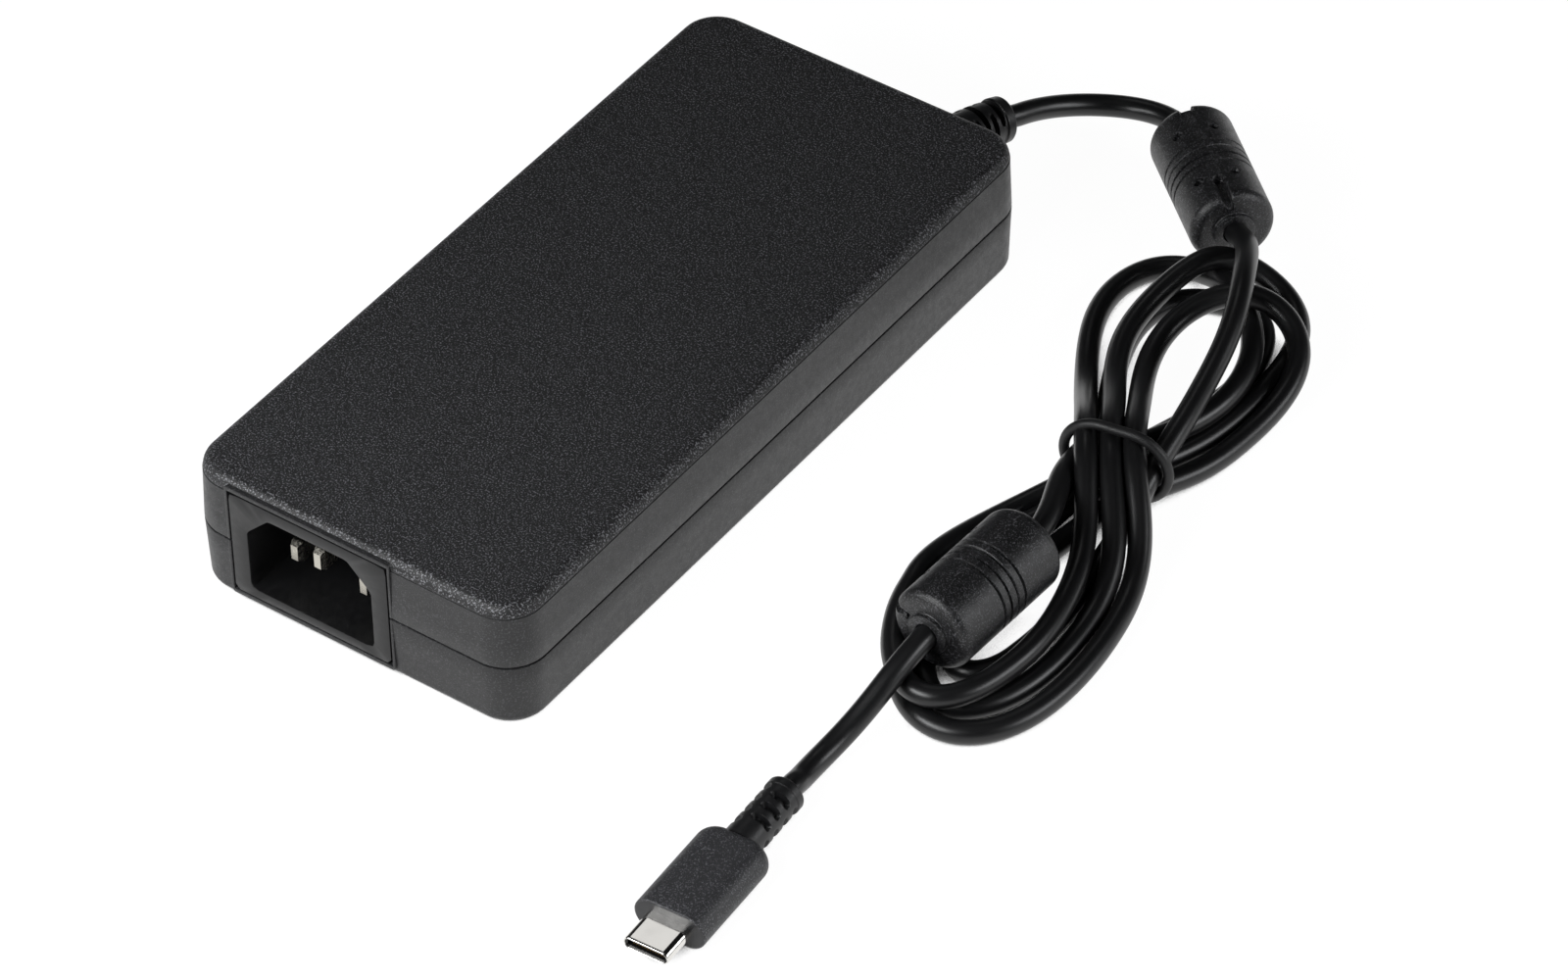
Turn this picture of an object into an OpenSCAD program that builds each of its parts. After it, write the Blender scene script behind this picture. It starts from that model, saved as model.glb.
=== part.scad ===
// Laptop power adapter: a two-shell brick with a mains inlet, its circuit
// board, and a moulded output lead with two ferrite sleeves and a USB-C plug.
// Millimetres. Origin at the centre of the brick's base, +Z up.
// The brick lies along Y, with the mains inlet at the -Y end.

/* [Case] */
// Width of the brick at its seam
body_w = 67; // [60:1:90]
// Length of the brick at its seam
body_l = 144; // [138:1:180]
// Height of the brick
body_h = 24.8; // [24.4:0.2:32]
// Height of the seam between the two shells
seam_z = 12.4; // [12:0.1:13]
// Open gap that shows at the seam
seam_gap = 0.35; // [0.2:0.05:0.6]
// Radius of the vertical corners
corner_r = 7.3; // [5:0.1:10]
// Radius of the top edge
top_edge_r = 1.9; // [1:0.1:2.5]
// Radius of the bottom edge
bottom_edge_r = 1.4; // [1:0.1:2.5]
// Draft of the side walls, in degrees
wall_draft = 2; // [0.5:0.5:3]
// Thickness of the walls
wall_t = 2.2; // [1.8:0.1:2.4]
// Thickness of the tongue that joins the shells
tongue_t = 1; // [0.8:0.1:1.2]
// Height of the tongue above the seam
tongue_h = 1.4; // [1:0.1:2]
// Clearance at the side of the tongue
tongue_gap = 0.1; // [0.05:0.05:0.2]

/* [Mains inlet] */
// Distance of the inlet's centre from the brick's centre line
inlet_offset = 8.1; // [4:0.1:9]
// Height of the centre of the inlet's flange
flange_z = 12.5; // [12.4:0.1:12.8]
// Width of the flange
flange_w = 31.8; // [31:0.1:33]
// Height of the flange
flange_h = 20.8; // [20.4:0.1:21]
// Thickness of the flange
flange_t = 2; // [1.5:0.1:2.1]
// Gap around the flange
flange_gap = 0.25; // [0.15:0.05:0.4]
// Width of the raised frame beside the flange
frame_side = 0.8; // [0.6:0.1:1.2]
// Width of the raised frame above and below the flange
frame_rim = 1.1; // [0.8:0.1:1.2]
// How far the frame stands out at the seam
frame_proud = 0.05; // [0:0.05:0.3]
// Width of the mouth
mouth_w = 25; // [24.5:0.1:25.2]
// Height of the mouth
mouth_h = 16.6; // [16.2:0.1:17]
// Chamfer at the mouth's upper corners
mouth_chamfer = 4.6; // [4:0.1:5]
// Radius of the mouth's lower corners
mouth_r = 1.2; // [0.8:0.1:1.6]
// Height of the mouth's centre
mouth_z = 12.2; // [12:0.1:12.6]
// Depth of the mouth
mouth_depth = 16; // [15:0.5:17]
// Wall of the inlet's cup
cup_t = 1.4; // [1:0.1:1.5]
// Thickness of the inlet's back wall
cup_back_t = 3; // [2:0.1:3]
// Distance between the line and neutral pins
pin_pitch = 14; // [13.8:0.1:14.2]
// How far the earth pin stands above the other two
earth_rise = 3.9; // [3.8:0.1:4.1]
// Height of the line and neutral pins
live_z = 10.7; // [10.4:0.1:11]
// Thickness of a pin
pin_t = 2; // [1.9:0.1:2]
// Height of a pin's blade
pin_h = 4; // [3.9:0.1:4]
// Distance of the live tips behind the mouth
live_inset = 4.8; // [4:0.1:5.5]
// Distance of the earth tip behind the mouth
earth_inset = 2.2; // [2:0.1:3]
// Length of a pin's tag behind the inlet
tag_len = 3; // [2:0.5:3]
// Radius of an inlet wire
wire_r = 1.1; // [0.8:0.1:1.2]

/* [Circuit board] */
// Thickness of the board
board_t = 1.6; // [1:0.1:2]
// Height of the board's underside
board_z = 6; // [5:0.1:6.4]
// Clearance between the board and the side walls
board_side_gap = 1.1; // [0.8:0.1:1.5]
// Clearance between the board and the inlet
board_inlet_gap = 1; // [0.8:0.1:2]
// Clearance between the board and the output end wall
board_end_gap = 2.2; // [2.2:0.1:3]
// Distance of the board posts from the board's edges
post_inset = 2.8; // [2.4:0.1:3.5]
// Radius of the board posts
post_r = 2.2; // [1.8:0.1:2.3]
// Radius of the pegs that locate the board
peg_r = 1; // [0.8:0.1:1.2]
// Height of the pegs above the board
peg_rise = 0.8; // [0.4:0.1:1]
// Clearance around a peg, post or lead
fit_gap = 0.2; // [0.1:0.05:0.3]
// Thickness of the lower shield plate
shield_t = 0.5; // [0.3:0.1:0.8]
// Thickness of the insulating sheet
sheet_t = 0.3; // [0.2:0.1:0.5]
// Thickness of the upper heat spreader
spreader_t = 0.8; // [0.5:0.1:1]
// Distance of the plates from the side walls
plate_side_gap = 2.5; // [2:0.1:4]
// Distance of the plates from the board posts
plate_post_gap = 1.5; // [1:0.1:3]

/* [Power components] */
// Radius of the fuse
fuse_r = 2.6; // [2:0.1:3]
// Length of the fuse
fuse_len = 20; // [15:1:22]
// Radius of the varistor
varistor_r = 5; // [3.5:0.1:5.5]
// Thickness of the varistor
varistor_t = 4; // [3:0.1:4.5]
// Width of the mains filter capacitor
filter_cap_w = 9; // [6:0.5:9]
// Length of the mains filter capacitor
filter_cap_l = 20; // [15:1:21]
// Height of the mains filter capacitor
filter_cap_h = 12.5; // [9:0.1:12.9]
// Outer radius of the filter choke's core
choke_r = 8.5; // [6:0.1:8.8]
// Radius of the hole in the filter choke's core
choke_hole_r = 4.5; // [4:0.1:5]
// Height of the filter choke's core
choke_h = 8; // [6:0.1:9]
// Thickness of wire wound on the filter choke
choke_wire = 1.2; // [0.8:0.1:1.3]
// Clearance between a winding and its core
winding_gap = 0.2; // [0.1:0.05:0.3]
// Width of the bridge rectifier
bridge_w = 20; // [15:0.5:20]
// Thickness of the bridge rectifier
bridge_t = 3.6; // [3:0.1:4]
// Height of the bridge rectifier
bridge_h = 11; // [8:0.1:11.5]
// Radius of the bulk capacitors
bulk_r = 6.2; // [5:0.1:6.3]
// Length of the bulk capacitors
bulk_len = 32; // [25:1:33]
// Width of the boost inductor's core
boost_w = 20; // [16:0.5:20]
// Length of the boost inductor's core
boost_l = 19; // [16:0.5:20]
// Width of the transformer's core
trans_w = 26; // [22:0.5:27]
// Length of the transformer's core
trans_l = 24; // [20:0.5:25]
// Height of the transformer and inductor cores
core_h = 13; // [10:0.1:13.1]
// Thickness of a core's end plate
core_plate_t = 2.6; // [2:0.1:3]
// Thickness of a core's side leg
core_leg_t = 3; // [2:0.1:4]
// Thickness of the heat sinks
sink_t = 2; // [1:0.1:2]
// Height of the heat sinks
sink_h = 12.5; // [10:0.1:12.9]
// Length of the primary heat sink
primary_sink_l = 34; // [28:1:36]
// Length of the secondary heat sink
secondary_sink_l = 26; // [24:1:30]
// Width of a power transistor
switch_w = 10; // [9:0.1:10.4]
// Thickness of a power transistor
switch_t = 4.5; // [4:0.1:4.6]
// Height of a power transistor's body
switch_h = 10; // [8:0.1:11]
// Radius of the output capacitors
output_cap_r = 4; // [3:0.1:4.2]
// Height of the output capacitors
output_cap_h = 12; // [9:0.1:12.9]
// Radius of the output choke
output_choke_r = 5; // [3:0.1:5.5]
// Height of the output choke
output_choke_h = 8; // [6:0.1:10]
// Thickness of the upright control boards
card_t = 1; // [0.8:0.1:1.2]
// Height of the upright control boards
card_h = 11; // [8:0.1:12]

/* [Output lead] */
// Distance of the output lead from the brick's centre line
relief_x = 14.9; // [10:0.1:16]
// Diameter of the output lead
cord_d = 4; // [3.4:0.1:4.4]
// Radius of the strain relief where it leaves the case
relief_r = 5.2; // [4.8:0.1:5.6]
// Radius of the strain relief along its length
relief_body_r = 3.9; // [3.5:0.1:4.2]
// Radius of the collar at the strain relief's end
relief_end_r = 4; // [3.8:0.1:4.4]
// Radius of the bend in the strain relief
relief_bend_r = 47; // [40:1:60]
// Angle through which the strain relief bends
relief_bend = 20; // [15:1:22]
// Angle by which the strain relief's bend tips down
relief_droop = 29; // [0:1:35]
// Radius of the strain relief's neck in the case wall
neck_r = 3.6; // [3:0.1:3.8]
// Radius of the strain relief's flange inside the case
relief_flange_r = 5.2; // [5:0.1:6]
// Thickness of the strain relief's flange inside the case
relief_flange_t = 1.6; // [1.5:0.1:1.8]
// Radius of an output wire
output_wire_r = 0.8; // [0.6:0.1:0.9]

/* [Ferrite sleeves] */
// Diameter of a sleeve
sleeve_d = 15; // [14:0.1:15.2]
// Length of a sleeve
sleeve_len = 26; // [24:0.5:26.4]
// Radius of a sleeve's edges
sleeve_edge_r = 1.6; // [1:0.1:2]
// Wall of a sleeve
sleeve_t = 1.4; // [1:0.1:1.8]
// Radius of the collar at each end of a sleeve
collar_r = 3.7; // [3:0.1:4]
// Length of the collar at each end of a sleeve
collar_len = 0.8; // [0.4:0.1:1]
// Number of grooves round a sleeve
groove_count = 4; // [2:1:5]
// Distance between the grooves
groove_pitch = 1.8; // [1.4:0.1:2.2]
// Width and depth of a groove
groove_w = 0.4; // [0.3:0.1:0.5]
// Radius of the small moulding holes
mould_hole_r = 0.55; // [0.4:0.05:0.7]
// Clearance between the cord and the ferrite core
core_gap = 0.6; // [0.4:0.1:1]

/* [Tied hank] */
// Width of the tie round the hank, between the centres of its strands
tie_w = 18.6; // [18:0.1:20]
// Height of the tie, between the centres of its strands
tie_h = 13.6; // [13:0.1:14]
// Radius of the tie's round section
tie_r = 0.9; // [0.7:0.1:0.9]
// Height of the hank's loops
hank_h = 7; // [5:0.1:7]

/* [USB-C plug] */
// Width of the plug's moulded grip
grip_w = 13; // [12.35:0.1:13]
// Thickness of the plug's moulded grip
grip_h = 6.6; // [6:0.1:7]
// Length of the plug's moulded grip
grip_len = 20; // [18:0.5:20.5]
// Radius of the grip's rear corners
grip_corner_r = 2.6; // [2:0.1:3]
// Width of the metal shell
shell_w = 8.25; // [8.2:0.01:8.3]
// Height of the metal shell
shell_h = 2.4; // [2.35:0.01:2.45]
// How far the metal shell stands out
shell_out = 6.65; // [6.5:0.05:6.7]
// How far the metal shell reaches into the grip
shell_in = 5; // [4:0.5:6]
// Wall of the metal shell
shell_t = 0.3; // [0.2:0.05:0.35]
// Height of the slot that takes the socket's tongue
slot_h = 1; // [0.8:0.05:1.1]
// Width of the slot that takes the socket's tongue
slot_w = 6.9; // [6.6:0.1:7]
// Depth of the slot that takes the socket's tongue
slot_depth = 5; // [4:0.1:5.5]
// Number of contacts in each row
contact_count = 12; // [12:12:24]
// Distance between the contacts
contact_pitch = 0.5; // [0.5:0.05:0.55]
// Radius of the plug's boot
boot_r = 3.3; // [3.2:0.1:3.6]
// Length of the plug's boot
boot_len = 13.7; // [12:0.1:14]
// Width of a slot in a boot
boot_slot_w = 1; // [0.8:0.1:1.2]
// Distance between neighbouring slots in a boot
boot_slot_pitch = 2.1; // [1.8:0.1:2.2]

/* [Hidden] */

$fn = 48;
HULL_FN = 32;
EPS = 0.01;
FILLET_STEPS = 4;

CASE = "#5a5a5d";
BLACK = "#1c1c1e";
METAL = "#d8d8da";
ALUMINIUM = "#b4b6ba";
BOARD = "#2e6b45";
COPPER = "#b06a3a";
FERRITE = "#3b3b3e";
YELLOW = "#e0c040";
BLUE = "#3465a4";
PAD = "#9aa6b4";

// Half the angle, in radii, that a wall leans over each millimetre of height
draft = tan(wall_draft);
cord_r = cord_d / 2;
ceiling_z = body_h - wall_t;
front_y = -body_l / 2 - frame_proud;
inlet_x = -inlet_offset;
flange_back_y = front_y + flange_t;
seat_t = 2;
seat_back_y = -body_l / 2 + wall_t + seat_t;
cup_w = mouth_w + 2 * cup_t;
cup_h = mouth_h + 2 * cup_t;
cup_gap = 0.2;
cup_end_y = front_y + mouth_depth + cup_back_t;
tag_end_y = cup_end_y + tag_len;
wire_bend_r = 3;
wire_run = 3;
earth_z = live_z + earth_rise;

board_top = board_z + board_t;
board_w = body_w - 2 * wall_t - 2 * board_side_gap;
board_y0 = cup_end_y + board_inlet_gap;
board_y1 = body_l / 2 - wall_t - board_end_gap;
board_l = board_y1 - board_y0;
board_corner_r = max(2, corner_r - 5.3);
post_x = board_w / 2 - post_inset;
post_y0 = board_y0 + post_inset;
post_y1 = board_y1 - post_inset;
plate_w = body_w - 2 * wall_t - 2 * plate_side_gap;
plate_y0 = post_y0 + post_r + plate_post_gap;
plate_y1 = post_y1 - post_r - plate_post_gap;
mid_post_y = (post_y0 + post_y1) / 2;
floor_z = wall_t;
sheet_z = floor_z + shield_t;

// Places on the board: the mains side counts from the inlet end, and the
// output side from the output end
filter_cap_x = board_w / 2 - filter_cap_w / 2 - 2.2;
filter_cap_y = board_y0 + 16.5;
fuse_x = filter_cap_x - filter_cap_w / 2 - fuse_r - 2.4;
fuse_y = board_y0 + 15;
varistor_x = fuse_x - fuse_r - varistor_r - 1.5;
varistor_y = board_y0 + 17;
choke_x = -board_w / 2 + choke_r + choke_wire + 3;
choke_y = board_y0 + 23;
bridge_x = 8;
bridge_y = board_y0 + 29;
safety_r = 3.2;
safety_t = 2.4;
safety_x = filter_cap_x;
safety_y = board_y0 + 30.7;
bulk_x = board_w / 2 - bulk_r - 1.2;
bulk_y = board_y0 + 51;
bulk_pitch = 2 * bulk_r + 0.6;
sink_x = board_w / 2 - sink_t / 2 - 1;
primary_sink_y = board_y0 + 55;
switch_gap = 14;
boost_x = -sink_x + sink_t / 2 + switch_t + 1.2 + boost_w / 2;
boost_y = board_y0 + 46;
control_card_w = 20;
control_card_y = board_y0 + 60.5;
trans_x = boost_x + 2;
trans_y = board_y1 - 41;
opto_x = trans_x + trans_w / 2 + 5;
opto_y = board_y1 - 41;
secondary_sink_y = board_y1 - 29;
output_cap_y = board_y1 - 20;
output_cap_x = -board_w / 2 + output_cap_r + 3;
output_cap_pitch = 2 * output_cap_r + 1.6;
output_choke_x = 9;
charge_card_w = 26;
charge_card_x = -12;
charge_card_y = board_y1 - 9;
core_top = board_top + core_h;
pad_h = ceiling_z - spreader_t - core_top;
lead_r = 0.4;

// Each transistor stands on three legs and is held by one screw
leg_pitch = 2.54;
leg_h = 2;
switch_lift = 1.5;
screw_z = 8.5;
screw_r = 1.25;
screw_head_r = 2.2;
screw_head_t = 1;

// The strain relief is an arc that starts square to the end wall
relief_y = body_l / 2;
relief_shift = relief_bend_r * (1 - cos(relief_bend));
relief_end = [relief_x + relief_shift * cos(relief_droop),
    relief_y + relief_bend_r * sin(relief_bend), seam_z - relief_shift * sin(relief_droop)];
relief_dir = [sin(relief_bend) * cos(relief_droop), cos(relief_bend),
    -sin(relief_bend) * sin(relief_droop)];
relief_collar_len = 2;
relief_slots = 4;
relief_flange_gap = 0.3;
output_wire_side = 1.4;

// Where each sleeve lies and which way it points
sleeve_z = sleeve_d / 2;
upper_sleeve_at = [54, 97.7, sleeve_z];
upper_sleeve_turn = -40.3;
lower_sleeve_at = [80.4, -12.3, 11.5];
lower_sleeve_turn = -92.7;
sleeve_reach = sleeve_len / 2 + collar_len;

// Where the tie grips the hank
tie_at = [79.7, 28.9];
tie_turn = -80;
tie_z = tie_r + tie_h / 2;
waist_len = 9;

// Where the plug lies: the middle of the grip's front face
plug_at = [78.85, -94.2, max(grip_h / 2, boot_r)];
plug_turn = -87;
plug_card_l = 7;
plug_card_w = 6.4;
plug_card_t = 0.8;
card_x0 = -shell_in - plug_card_l;
boot_slots = 6;
boot_slot_arc = 80;
boot_slot_x0 = 2.6;
boot_slot_wall = 0.5;

function turned(angle) = [cos(angle), sin(angle), 0];
function on_axis(at, angle, run) = at + run * turned(angle);

// The lead from the strain relief, through the upper sleeve, to the hank
upper_route = [
    relief_end,
    relief_end + 3 * relief_dir,
    [19.8, 95.5, 9.4],
    [22.5, 101.2, 7.6],
    [26.7, 105.7, 6.4],
    [31.4, 108.3, 6.2],
    [36.4, 108.9, 6.7],
    on_axis(upper_sleeve_at, upper_sleeve_turn, -sleeve_reach - 3),
    on_axis(upper_sleeve_at, upper_sleeve_turn, -sleeve_reach),
    on_axis(upper_sleeve_at, upper_sleeve_turn, sleeve_reach - 0.4),
    on_axis(upper_sleeve_at, upper_sleeve_turn, sleeve_reach),
    [67.6, 86, 9.2],
    [70.8, 81.8, 10.2],
    [74, 75.5, 10],
    [77, 67, 9.4],
    [79.6, 58, 9.2],
    [81.8, 49, 9.2],
    concat([for (i = [0:1]) (tie_at + tie_side(5.6) - tie_along(waist_len + 3))[i]], [9.2]),
    concat([for (i = [0:1]) (tie_at + tie_side(5.6) - tie_along(waist_len))[i]], [9.2])
];

// The lead from the hank, through the lower sleeve, to the plug
lower_route = [
    concat([for (i = [0:1]) (tie_at - tie_side(5.5) + tie_along(waist_len))[i]], [9.4]),
    concat([for (i = [0:1]) (tie_at - tie_side(5.5) + tie_along(waist_len + 2))[i]], [9.4]),
    [77.6, 13, 10.4],
    [79.6, 8, 11.2],
    on_axis(lower_sleeve_at, lower_sleeve_turn, -sleeve_reach - 2),
    on_axis(lower_sleeve_at, lower_sleeve_turn, -sleeve_reach),
    on_axis(lower_sleeve_at, lower_sleeve_turn, sleeve_reach - 0.4),
    on_axis(lower_sleeve_at, lower_sleeve_turn, sleeve_reach),
    [79.8, -30, 10.8],
    [79.5, -34, 9.4],
    [78.8, -37.5, 7.5],
    [77.8, -41, 5],
    [76.9, -44.6, 3],
    [76.4, -49, 2.2],
    [76.5, -54, 2.3],
    on_axis(plug_at, plug_turn, -grip_len - boot_len - 2),
    on_axis(plug_at, plug_turn, -grip_len - boot_len)
];

function tie_side(run) = run * [-sin(tie_turn), cos(tie_turn)];
function tie_along(run) = run * [cos(tie_turn), sin(tie_turn)];

// A point on the smooth curve through a list of points, between i and i + 1
function before(route, i) = i > 0 ? route[i - 1] : 2 * route[0] - route[1];
function after(route, i) = i < len(route) - 1 ? route[i + 1]
    : 2 * route[i] - route[i - 1];
function on_curve(route, i, t) = 0.5 * (2 * route[i]
    + (route[i + 1] - before(route, i)) * t
    + (2 * before(route, i) - 5 * route[i] + 4 * route[i + 1] - after(route, i + 1)) * t * t
    + (3 * route[i] - before(route, i) - 3 * route[i + 1] + after(route, i + 1)) * t * t * t);
function smooth(route, steps) = concat(
    [for (i = [0:len(route) - 2]) for (k = [0:steps - 1]) on_curve(route, i, k / steps)],
    [route[len(route) - 1]]);
function unit(v) = v / norm(v);
function heading(path, i) = unit(path[min(i + 1, len(path) - 1)] - path[max(i - 1, 0)]);
// One ring of a round tube, square to the path
function ring(path, i, r, sides) =
    let (along = heading(path, i), side = unit(cross(along, [0, 0, 1])), top = cross(side, along))
    [for (k = [0:sides - 1]) path[i] + r * (cos(360 * k / sides) * side
        + sin(360 * k / sides) * top)];

// A round tube swept along a smooth path
module tube(route, r, sides, steps) {
    path = smooth(route, steps);
    rings = len(path);
    points = [for (i = [0:rings - 1]) each ring(path, i, r, sides)];
    walls = [for (i = [0:rings - 2]) for (k = [0:sides - 1])
        [i * sides + k, (i + 1) * sides + k,
            (i + 1) * sides + (k + 1) % sides, i * sides + (k + 1) % sides]];
    start = [for (k = [0:sides - 1]) k];
    finish = [for (k = [0:sides - 1]) (rings - 1) * sides + sides - 1 - k];
    polyhedron(points, concat([start], walls, [finish]), convexity = 10);
}

// A rectangle with round corners, centred
module round_rect(w, l, r) {
    square([w - 2 * r, l], center = true);
    square([w, l - 2 * r], center = true);
    for (x = [-1, 1]) for (y = [-1, 1])
        translate([x * (w / 2 - r), y * (l / 2 - r)]) circle(r);
}

// A slot shape with round ends, centred
module stadium(w, h) {
    square([w - h, h], center = true);
    for (x = [-1, 1]) translate([x * (w - h) / 2, 0]) circle(h / 2);
}

// Half of a drafted case: widest at z = 0, with a rounded far edge
module case_half(w, l, h, r, edge) {
    lean = draft * (h - edge);
    wall_top = r - lean;
    arc = [for (k = [0:FILLET_STEPS]) let (a = 90 * k / FILLET_STEPS)
        [wall_top - edge + edge * cos(a), h - edge + edge * sin(a)]];
    hull() for (x = [-1, 1]) for (y = [-1, 1])
        translate([x * (w / 2 - r), y * (l / 2 - r), 0])
            rotate_extrude($fn = HULL_FN) polygon(concat([[0, 0], [r, 0]], arc, [[0, h]]));
}

module upper_space(inset, edge) {
    translate([0, 0, seam_z]) case_half(body_w - 2 * inset, body_l - 2 * inset,
        body_h - seam_z - inset, corner_r - inset, edge);
}

module lower_space(inset, edge) {
    translate([0, 0, seam_z]) mirror([0, 0, 1]) case_half(body_w - 2 * inset,
        body_l - 2 * inset, seam_z - inset, corner_r - inset, edge);
}

// A slab that stands on the inlet's end, from y0 to y1, centred on the inlet
module inlet_slab(w, h, z, y0, y1) {
    translate([inlet_x - w / 2, y0, z - h / 2]) cube([w, y1 - y0, h]);
}

// The raised frame and the thick seat round the inlet, for both shells
module inlet_surround() {
    frame_w = flange_w + 2 * frame_side;
    frame_h = flange_h + 2 * frame_rim;
    inlet_slab(frame_w, frame_h, flange_z, front_y, flange_back_y);
    inlet_slab(frame_w, ceiling_z - floor_z + 2 * EPS, (ceiling_z + floor_z) / 2,
        flange_back_y - EPS, seat_back_y);
}

// What the inlet and the output lead need cut from both shells
module case_cuts() {
    inlet_slab(flange_w + 2 * flange_gap, flange_h + 2 * flange_gap, flange_z,
        front_y - 1, flange_back_y);
    inlet_slab(cup_w + 2 * cup_gap, cup_h + 2 * cup_gap, mouth_z, front_y, seat_back_y + 1);
    translate([relief_x, relief_y - wall_t - tongue_t, seam_z]) rotate([-90, 0, 0])
        cylinder(r = neck_r + fit_gap, h = wall_t + tongue_t + 2);
}

module tongue_ring(extra, z0, z1) {
    inner_w = body_w - 2 * wall_t;
    inner_l = body_l - 2 * wall_t;
    inner_r = corner_r - wall_t;
    grow = tongue_t + extra;
    translate([0, 0, z0]) linear_extrude(z1 - z0) difference() {
        round_rect(inner_w + 2 * grow, inner_l + 2 * grow, inner_r + grow);
        round_rect(inner_w, inner_l, inner_r);
    }
}

module at_posts() {
    for (x = [-1, 1]) for (y = [post_y0, post_y1]) translate([x * post_x, y, 0]) children();
}

module top_cover() {
    color(CASE) difference() {
        union() {
            difference() {
                union() {
                    upper_space(0, top_edge_r);
                    inlet_surround();
                }
                upper_space(wall_t, top_edge_r / 2);
                translate([-body_w, -body_l, -1]) cube([2 * body_w, 2 * body_l,
                    seam_z + seam_gap / 2 + 1]);
                tongue_ring(tongue_gap, seam_z, seam_z + tongue_h);
            }
            at_posts() translate([0, 0, board_top]) cylinder(r = post_r,
                h = ceiling_z - board_top + EPS);
            intersection() {
                inlet_surround();
                translate([-body_w, flange_back_y, seam_z + tongue_h])
                    cube([2 * body_w, seat_back_y - flange_back_y, ceiling_z - seam_z]);
            }
        }
        case_cuts();
        at_posts() translate([0, 0, board_top - EPS]) cylinder(r = peg_r + fit_gap,
            h = peg_rise + 2 * fit_gap);
    }
}

module bottom_cover() {
    color(CASE) difference() {
        union() {
            difference() {
                union() {
                    lower_space(0, bottom_edge_r);
                    inlet_surround();
                }
                lower_space(wall_t, bottom_edge_r / 2);
                translate([-body_w, -body_l, seam_z - seam_gap / 2])
                    cube([2 * body_w, 2 * body_l, body_h]);
            }
            tongue_ring(0, seam_z - tongue_h, seam_z + tongue_h);
            at_posts() translate([0, 0, floor_z - EPS]) cylinder(r = post_r,
                h = board_z - floor_z + EPS);
            at_posts() translate([0, 0, board_z - EPS]) cylinder(r = peg_r,
                h = board_t + peg_rise + EPS);
            for (x = [-1, 1]) translate([x * post_x, mid_post_y, floor_z - EPS])
                cylinder(r = post_r, h = board_z - floor_z + EPS);
        }
        case_cuts();
    }
}

// The outline of the mouth, seen from the front
module mouth_outline(grow) {
    w = mouth_w / 2 + grow;
    h = mouth_h / 2 + grow;
    r = mouth_r + grow;
    c = mouth_chamfer;
    polygon([[-w, -h + r], [-w + r, -h], [w - r, -h], [w, -h + r],
        [w, h - c], [w - c, h], [-w + c, h], [-w, h - c]]);
    for (x = [-1, 1]) translate([x * (w - r), -h + r]) circle(r);
}

// Turns a flat outline to face the inlet's end, and pushes it back from y
module inlet_extrude(y, z, depth) {
    translate([inlet_x, y, z]) rotate([90, 0, 0]) mirror([0, 0, 1]) linear_extrude(depth) children();
}

module pin_shape(x, z, inset) {
    nose = 1;
    length = tag_end_y - front_y - inset;
    translate([inlet_x + x, front_y + inset + nose, z]) translate([-pin_t / 2, 0, -pin_h / 2])
        cube([pin_t, length - nose, pin_h]);
    translate([inlet_x + x, front_y + inset, z]) intersection() {
        rotate([0, 90, 0]) linear_extrude(pin_t, center = true)
            polygon([[-pin_h / 2 + nose / 2, 0], [pin_h / 2 - nose / 2, 0],
                [pin_h / 2, nose], [-pin_h / 2, nose]]);
        linear_extrude(pin_h, center = true)
            polygon([[-pin_t / 2 + nose / 3, 0], [pin_t / 2 - nose / 3, 0],
                [pin_t / 2, nose], [-pin_t / 2, nose]]);
    }
}

module line_pin() {
    color(METAL) pin_shape(-pin_pitch / 2, live_z, live_inset);
}

module neutral_pin() {
    color(METAL) pin_shape(pin_pitch / 2, live_z, live_inset);
}

module earth_pin() {
    color(METAL) pin_shape(0, earth_z, earth_inset);
}

module inlet_housing() {
    color(CASE) difference() {
        union() {
            inlet_slab(flange_w, flange_h, flange_z, front_y, flange_back_y);
            inlet_slab(cup_w, cup_h, mouth_z, flange_back_y - EPS, cup_end_y);
        }
        inlet_extrude(front_y - 1, mouth_z, mouth_depth + 1) mouth_outline(0);
        for (x = [-1, 1]) inlet_slab_pin(x * pin_pitch / 2, live_z);
        inlet_slab_pin(0, earth_z);
    }
}

// The hole that a pin passes through in the inlet's back wall
module inlet_slab_pin(x, z) {
    translate([inlet_x + x - pin_t / 2, front_y + mouth_depth - 1, z - pin_h / 2])
        cube([pin_t, cup_back_t + 2, pin_h]);
}

// A wire that runs along Y from a tag and turns down onto the board
module dropped_wire(x, y, z, r, bend_r, run, way) {
    drop = z - board_top - bend_r;
    translate([x, y, z]) rotate([-90 * way, 0, 0]) cylinder(r = r, h = run);
    translate([x, y + way * run, z - bend_r]) rotate([90, 0, 90])
        rotate_extrude(angle = way > 0 ? 90 : -90) translate([way * bend_r, 0]) circle(r);
    translate([x, y + way * (run + bend_r), board_top]) cylinder(r = r, h = drop);
}

module inlet_wires() {
    color(BLACK) for (x = [-1, 1])
        dropped_wire(inlet_x + x * pin_pitch / 2, tag_end_y, live_z, wire_r, wire_bend_r, wire_run, 1);
    color(BLACK) dropped_wire(inlet_x, tag_end_y, earth_z, wire_r, wire_bend_r, wire_run, 1);
}

module circuit_board() {
    color(BOARD) translate([0, (board_y0 + board_y1) / 2, board_z]) difference() {
        linear_extrude(board_t) round_rect(board_w, board_l, board_corner_r);
        translate([0, -(board_y0 + board_y1) / 2, -1]) at_posts()
            cylinder(r = peg_r + fit_gap, h = board_t + 2);
    }
}

// A thin plate that clears the board posts
module plate(z, t) {
    difference() {
        translate([-plate_w / 2, plate_y0, z]) cube([plate_w, plate_y1 - plate_y0, t]);
        for (x = [-1, 1]) translate([x * post_x, mid_post_y, z - 1])
            cylinder(r = post_r + fit_gap, h = t + 2);
    }
}

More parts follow.
